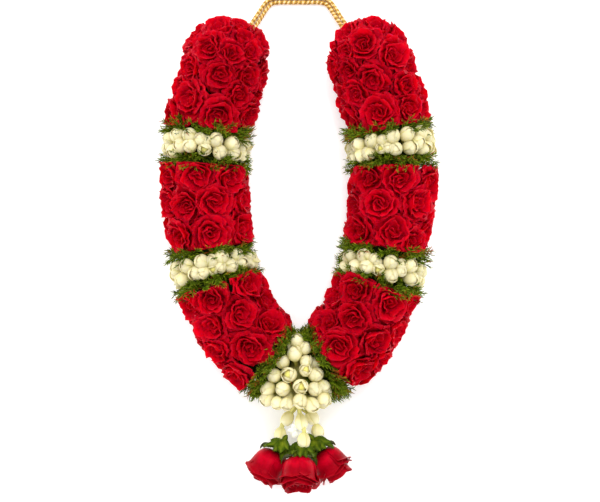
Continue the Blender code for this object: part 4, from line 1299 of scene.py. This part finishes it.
class GARLAND_OT_pendant(GarlandOperator):
    """Adds the cone of buds, the tassel's strands and the open floret"""

    bl_idname = "garland.pendant"
    bl_label = "Pendant"

    def surface(self, x, y, wider=0, behind=False):
        """A point on the cone of buds, and the way that a bud there points."""
        share = np.clip(down_cone(y), 0.0, 1.0)
        wide = np.interp(share, CONE_STEPS, CONE_HALF_WIDTHS) + wider
        deep = 27 + 12 * share
        across = np.clip(x / wide, -0.97, 0.97)
        lift = math.sqrt(1 - across**2) * (-1 if behind else 1)
        drop = np.interp(y, (-190, -172, -150, -137, -110), (-0.6, -0.25, 0.1, 0.6, 1.2))
        point = np.array((across * wide, y, CONE_APEX[2] + lift * deep))
        return point, unit((across * 0.8, drop, lift))

    def execute(self, context):
        rng = np.random.default_rng(SEEDS["pendant"])
        material = self.bud_material()
        self.add_cluster(rng, material)
        self.add_strands(rng, material)
        self.add_floret()
        return {"FINISHED"}

    def add_cluster(self, rng, material):
        models = bud_models(rng, self.sizes)
        long = self.sizes.bud_length / MM
        spots = [(*self.surface(bud[0], bud[1], wider=11), len(bud) > 2) for bud in CLUSTER_BUDS]
        trial = []
        for y in np.arange(CONE_APEX[1], CONE_FOOT - 0.1, -4):
            for x in np.arange(-60, 60, 4):
                for behind in (False, True):
                    point, way = self.surface(x, y, behind=behind)
                    # The lower end of the cone leans to the left
                    point[0] -= 4 * down_cone(y)
                    trial.append((point, way))
        # Rings of buds that close the cone's foot
        for radius in (4, 16, 28):
            for angle in np.arange(0, TURN, 6 / radius):
                x, z = radius * math.cos(angle), radius * math.sin(angle)
                trial.append((np.array((x, CONE_FOOT + 7, CONE_APEX[2] + z)), unit((x / 50, -1, z / 50))))
        places = np.array([point for point, _ in trial])
        picked = spread(places, [point for point, _, _ in spots], (CLUSTER_PITCH,))
        spots += [(*trial[at], False) for at in picked]
        tips = np.array([point for point, _, _ in spots])
        shapes = []
        for at, (tip, way, opened) in enumerate(spots):
            near, grown = room(tips, at, *CLUSTER_ROOM)
            model = bud_model(models, opened, way, rng)
            leaned = unit(way + rng.uniform(-0.12, 0.12, 3))
            axes = frame_about(leaned, rng.uniform(0, TURN)) * grown
            # Painted light: buds on the cone are toned a little brighter against the shade on their downward
            # sides
            bud = model.moved(axes, tip - leaned * long * grown / 2, rng.uniform(1.0, 1.1))
            bud.points = crowded(bud.points, tip, tips[near], *CLUSTER_PRESS)
            bud.points = above_floor(bud.points, 2.5)
            shapes.append(bud)
        # The necks of the buds run together in a core, darkened to an olive that is partly the stems' own
        # colour and partly painted shade between the buds
        heights = np.linspace(CONE_APEX[1] - 6, CONE_FOOT + 12, 8)
        share = down_cone(heights)
        axis = np.stack([0 * heights, heights, 0 * heights + CONE_APEX[2]], axis=1)
        necks = tube(axis, 5 + 24 * share, sides=16, tone=0.45)
        necks.uv[:, :, 1] = 0.05
        shapes.append(necks)
        piece("bud_cluster_tuberose", shapes, [material], "bud_cluster")

    def add_strands(self, rng, material):
        models = [self.hanging_bud(rng) for _ in range(2)]
        for name, knots in STRANDS.items():
            hold, mouth, _ = HANGING_ROSES[name]
            route = Line((*knots, np.subtract(hold, unit(mouth) * CALYX_TOP)))
            line = route.at(np.linspace(0, route.length - 0.5, 26))
            # The middle stalk is thicker where it leaves the cluster
            stalk = tube(line, np.where(line[:, 1] > -208, 3.0, 1.6) if name == "centre" else 1.6)
            stalk.uv[:, :, 1] = -0.15
            stalk.tone *= 0.85
            shapes = [stalk]
            # Painted light: the strand buds are toned brighter, the upper one most, against the shade of the
            # cluster above them
            for knot, tone in zip(knots[2:], (1.45, 1.26)):
                at = np.argmin(np.linalg.norm(line - knot, axis=1))
                down = unit(line[min(at + 1, len(line) - 1)] - line[at - 1])
                model = models[rng.integers(2)]
                foot = np.asarray(knot) - down * 10.5
                shapes.append(model.moved(frame_about(down, rng.uniform(0, TURN)), foot, tone))
            piece(f"bud_strand_{name}_tuberose", shapes, [material], f"bud_strand_{name}")

    def hanging_bud(self, rng):
        """A longer, paler bud on its own green-yellow neck."""
        bud = closed_bud(rng, 21.5, 17, True)
        bud.uv[:, :, 1] = 0.3 + 0.7 * bud.uv[:, :, 1]
        neck = tube([(0, 0, -5), (0, 0, -2), (0, 0, 1), (0, 0, 3)], (1.6, 2.2, 2.9, 3.4))
        neck.uv[:, :, 1] = HANGING_NECK_GREEN
        return together([bud, neck])

    def add_floret(self):
        facing = unit(FLORET_FACING)
        middle = np.array(FLORET_MIDDLE, float)
        star = [self.star_tepal((k + ring / 2) * TURN / 3, ring) for ring in range(2) for k in range(3)]
        floret = together(star).moved(frame_about(facing, 0.3), middle)
        stem = Line((FLORET_TUBE, np.add(FLORET_TUBE, (0, -12, -1)), middle - facing * 2, middle))
        throat = tube(stem.at(np.linspace(0, stem.length, 14)), np.linspace(1.6, 2.8, 14), sides=10)
        throat.uv[:, :, 1] = 0.5
        # The open floret's whiter colour is partly its own white and partly painted light against the shade
        # it lies in
        white = once("Open tuberose", tuberose_tepal, *self.shades("bud"), linear("F3F3EA"))
        piece("open_floret_tuberose", [floret, throat], [white], "open_floret")

    def star_tepal(self, angle, ring):
        """One of the floret's narrow pointed tepals. Ring 0 is the inner one."""
        sheet, u, v = blank_sheet(5, 8)
        half = np.maximum(4.8 * np.sin(math.pi * np.clip(0.12 + 0.84 * v, 0, 1)) ** 0.8, 0.15)
        z = 2.4 * np.sin(math.pi * 0.62 * v) - 1.0 * u**2 - 0.6 * ring
        reshaped(sheet, swung(1.5 + 11.5 * v, u * half, z, angle))
        thickened(sheet, LEAF_WALL)
        # Painted light: toned brighter and set high on the cream-to-white scale, against the shade the floret
        # lies in
        made = taken(sheet, 1.65)
        made.uv[:, :, 1] = 0.75 + 0.35 * made.uv[:, :, 1]
        return made


class GARLAND_OT_hanging_roses(GarlandOperator):
    """Adds the three large roses that hang mouth down, and their green bases"""

    bl_idname = "garland.hanging_roses"
    bl_label = "Hanging roses"

    def execute(self, context):
        wall = max(self.sizes.petal_wall / MM, LARGE_PETAL_WALL)
        # The foot colour is painted shade and the rim colour a painted highlight
        shades = self.shades("large_rose_deep", "large_rose", "rose_rim")
        material = once("Large rose petal", rose_petal, *shades, True)
        (sepal,) = self.shades("sepal")
        green = once("Rose sepal", green_leaf, sepal, shaded(sepal, linear("BCC430"), 0.3), sepal, 180.0)
        for seed, (name, (hold, mouth, scale)) in enumerate(HANGING_ROSES.items()):
            rng = np.random.default_rng(SEEDS["hanging_roses"] + seed)
            outer = {"curl": 3.2, "wave": 0.9, "lap": 1.5, "drop": 0.12, "point": 0.05}
            inner = {"curl": 1.2, "wave": 0.6, "lap": 1.2, "drop": 0.10, "point": 0.02}
            rings = [
                (4, 1.05, ((2, 0), (24.5, -1), (19, 20), (22.5, 33)), (12, 13), outer),
                (4, 1.05, ((2, 1.2), (23, 1), (17.5, 22), (20.0, 37)), (12, 13), outer),
                (3, 1.28, ((2, 3), (20, 4), (15, 25), (16.0, 40)), (10, 11), inner),
                (3, 1.25, ((2, 6), (16, 8), (12, 28), (12.0, 40.5)), (9, 9), inner),
                (3, 1.20, ((2, 10), (11, 12), (8, 29), (8.0, 39)), (8, 8), inner),
                (2, 1.70, ((1, 14), (5, 16), (4, 28), (3, 36)), (7, 7), inner),
            ]
            rose = petals_of(rings, rng, wall)
            axes = frame_about(mouth, rng.uniform(0, TURN)) * scale
            laid = rose.moved(axes, np.array(hold, float))
            laid.points = above_floor(laid.points, 2.0)
            rose_node = f"hanging_rose_{name}"
            piece(f"{rose_node}_petals", [laid], [material], rose_node)

            shapes = [egg(14, 10, ((2.2, -CALYX_TOP + 0.4), (7.5, -8), (9.0, -2), (4.0, 1.5)))]
            for k in range(5):
                angle = (k + rng.uniform(-0.15, 0.15)) * TURN / 5
                shapes.append(self.sepal(angle, rng.uniform(18, 22), rng.uniform(5.5, 6.5), rng))
            calyx = together(shapes).moved(axes, np.array(hold, float))
            middle, *tips = SEPALS[name]
            calyx = together([calyx, *(self.leafy_sepal(middle, tip, rng) for tip in tips)])
            calyx.points = above_floor(calyx.points, 2.0)
            piece(f"calyx_{name}_sepals", [calyx], [green], f"calyx_{name}")
        return {"FINISHED"}

    def sepal(self, angle, long, half, rng):
        """One narrow sepal that leaves the base sideways and bends over the shoulder of its rose."""
        sheet, u, v = blank_sheet(4, 10)
        width = half * np.sin(math.pi * np.clip(0.2 + 0.78 * v, 0, 1)) ** 0.8
        at = bezier(((3, -5), (14, -6), (22, -3), (long + 2, rng.uniform(3, 8))), v)
        return self.leaf_blade(sheet, swung(at[:, 0], u * width, at[:, 1], angle), rng)

    def leafy_sepal(self, middle, tip, rng):
        """One broad toothed sepal from the middle of its set to a tip, its face to the front."""
        rows = 18
        sheet, u, v = blank_sheet(6, rows)
        way = np.subtract(tip[:3], middle)
        beside = unit(np.cross(UP, way))
        face = unit(np.cross(way, beside))
        toothed = (np.abs(u) > 0.9) & (np.round(v * rows) % 2 > 0) & (v > 0.2)
        width = tip[3] * np.sin(math.pi * np.clip(0.16 + 0.83 * v, 0, 1)) ** 0.75 * np.where(toothed, 1.2, 1)
        arch = 2.4 * np.sin(math.pi * v) + 1.5 * np.abs(u) * np.sin(math.pi * v) * rng.uniform(-1, 1)
        arch += 0.5 * np.sin(9 * v + rng.uniform(0, TURN)) * np.abs(u)
        points = middle + np.outer(v, way) + np.outer(u * width, beside) + np.outer(arch, face)
        return self.leaf_blade(sheet, points, rng)

    def leaf_blade(self, sheet, points, rng):
        reshaped(sheet, points)
        thickened(sheet, LEAF_WALL)
        blade = taken(sheet, rng.uniform(0.75, 1.15))
        # Darker towards the edges and the tip, light along the middle
        blade.uv[:, :, 1] = 0.95 - 0.5 * np.abs(2 * blade.uv[:, :, 0] - 1) - 0.25 * blade.uv[:, :, 1]
        return blade


class GARLAND_OT_strings(GarlandOperator):
    """Gives the two packed strings that carry the flowers their cotton"""

    bl_idname = "garland.strings"
    bl_label = "Strings"

    def execute(self, context):
        cotton = once("Cotton string", cotton_thread)
        for name in ("core_string", "pendant_string"):
            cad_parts[name].material_slots[0].material = cotton
        return {"FINISHED"}


class GARLAND_PT_sidebar(Panel):
    """The garland's sizes, colours and pieces"""

    bl_idname = "GARLAND_PT_sidebar"
    bl_label = "Rose garland"
    bl_space_type = "VIEW_3D"
    bl_region_type = "UI"
    bl_category = "Garland"

    def draw(self, context):
        groups = {"Sizes": context.scene.garland_sizes, "Colours": context.scene.garland_colours}
        for title, group in groups.items():
            box = self.layout.box()
            box.label(text=title)
            for name in group.__annotations__:
                box.prop(group, name)
        pieces = self.layout.column(align=True)
        for kind in OPERATORS:
            pieces.operator(kind.bl_idname)


OPERATORS = (
    GARLAND_OT_stage,
    GARLAND_OT_cord,
    GARLAND_OT_roses,
    GARLAND_OT_bands,
    GARLAND_OT_leaf,
    GARLAND_OT_pendant,
    GARLAND_OT_hanging_roses,
    GARLAND_OT_strings,
)
CLASSES = (GarlandSizes, GarlandColours, *OPERATORS, GARLAND_PT_sidebar)


def register():
    for kind in CLASSES:
        bpy.utils.register_class(kind)
    bpy.types.Scene.garland_sizes = PointerProperty(type=GarlandSizes)
    bpy.types.Scene.garland_colours = PointerProperty(type=GarlandColours)


def unregister():
    del bpy.types.Scene.garland_colours
    del bpy.types.Scene.garland_sizes
    for kind in reversed(CLASSES):
        bpy.utils.unregister_class(kind)


def main():
    register()
    bpy.ops.garland.stage()
    bpy.ops.garland.cord()
    bpy.ops.garland.roses()
    bpy.ops.garland.bands()
    bpy.ops.garland.leaf()
    bpy.ops.garland.pendant()
    bpy.ops.garland.hanging_roses()
    bpy.ops.garland.strings()


if __name__ == "__main__":
    main()
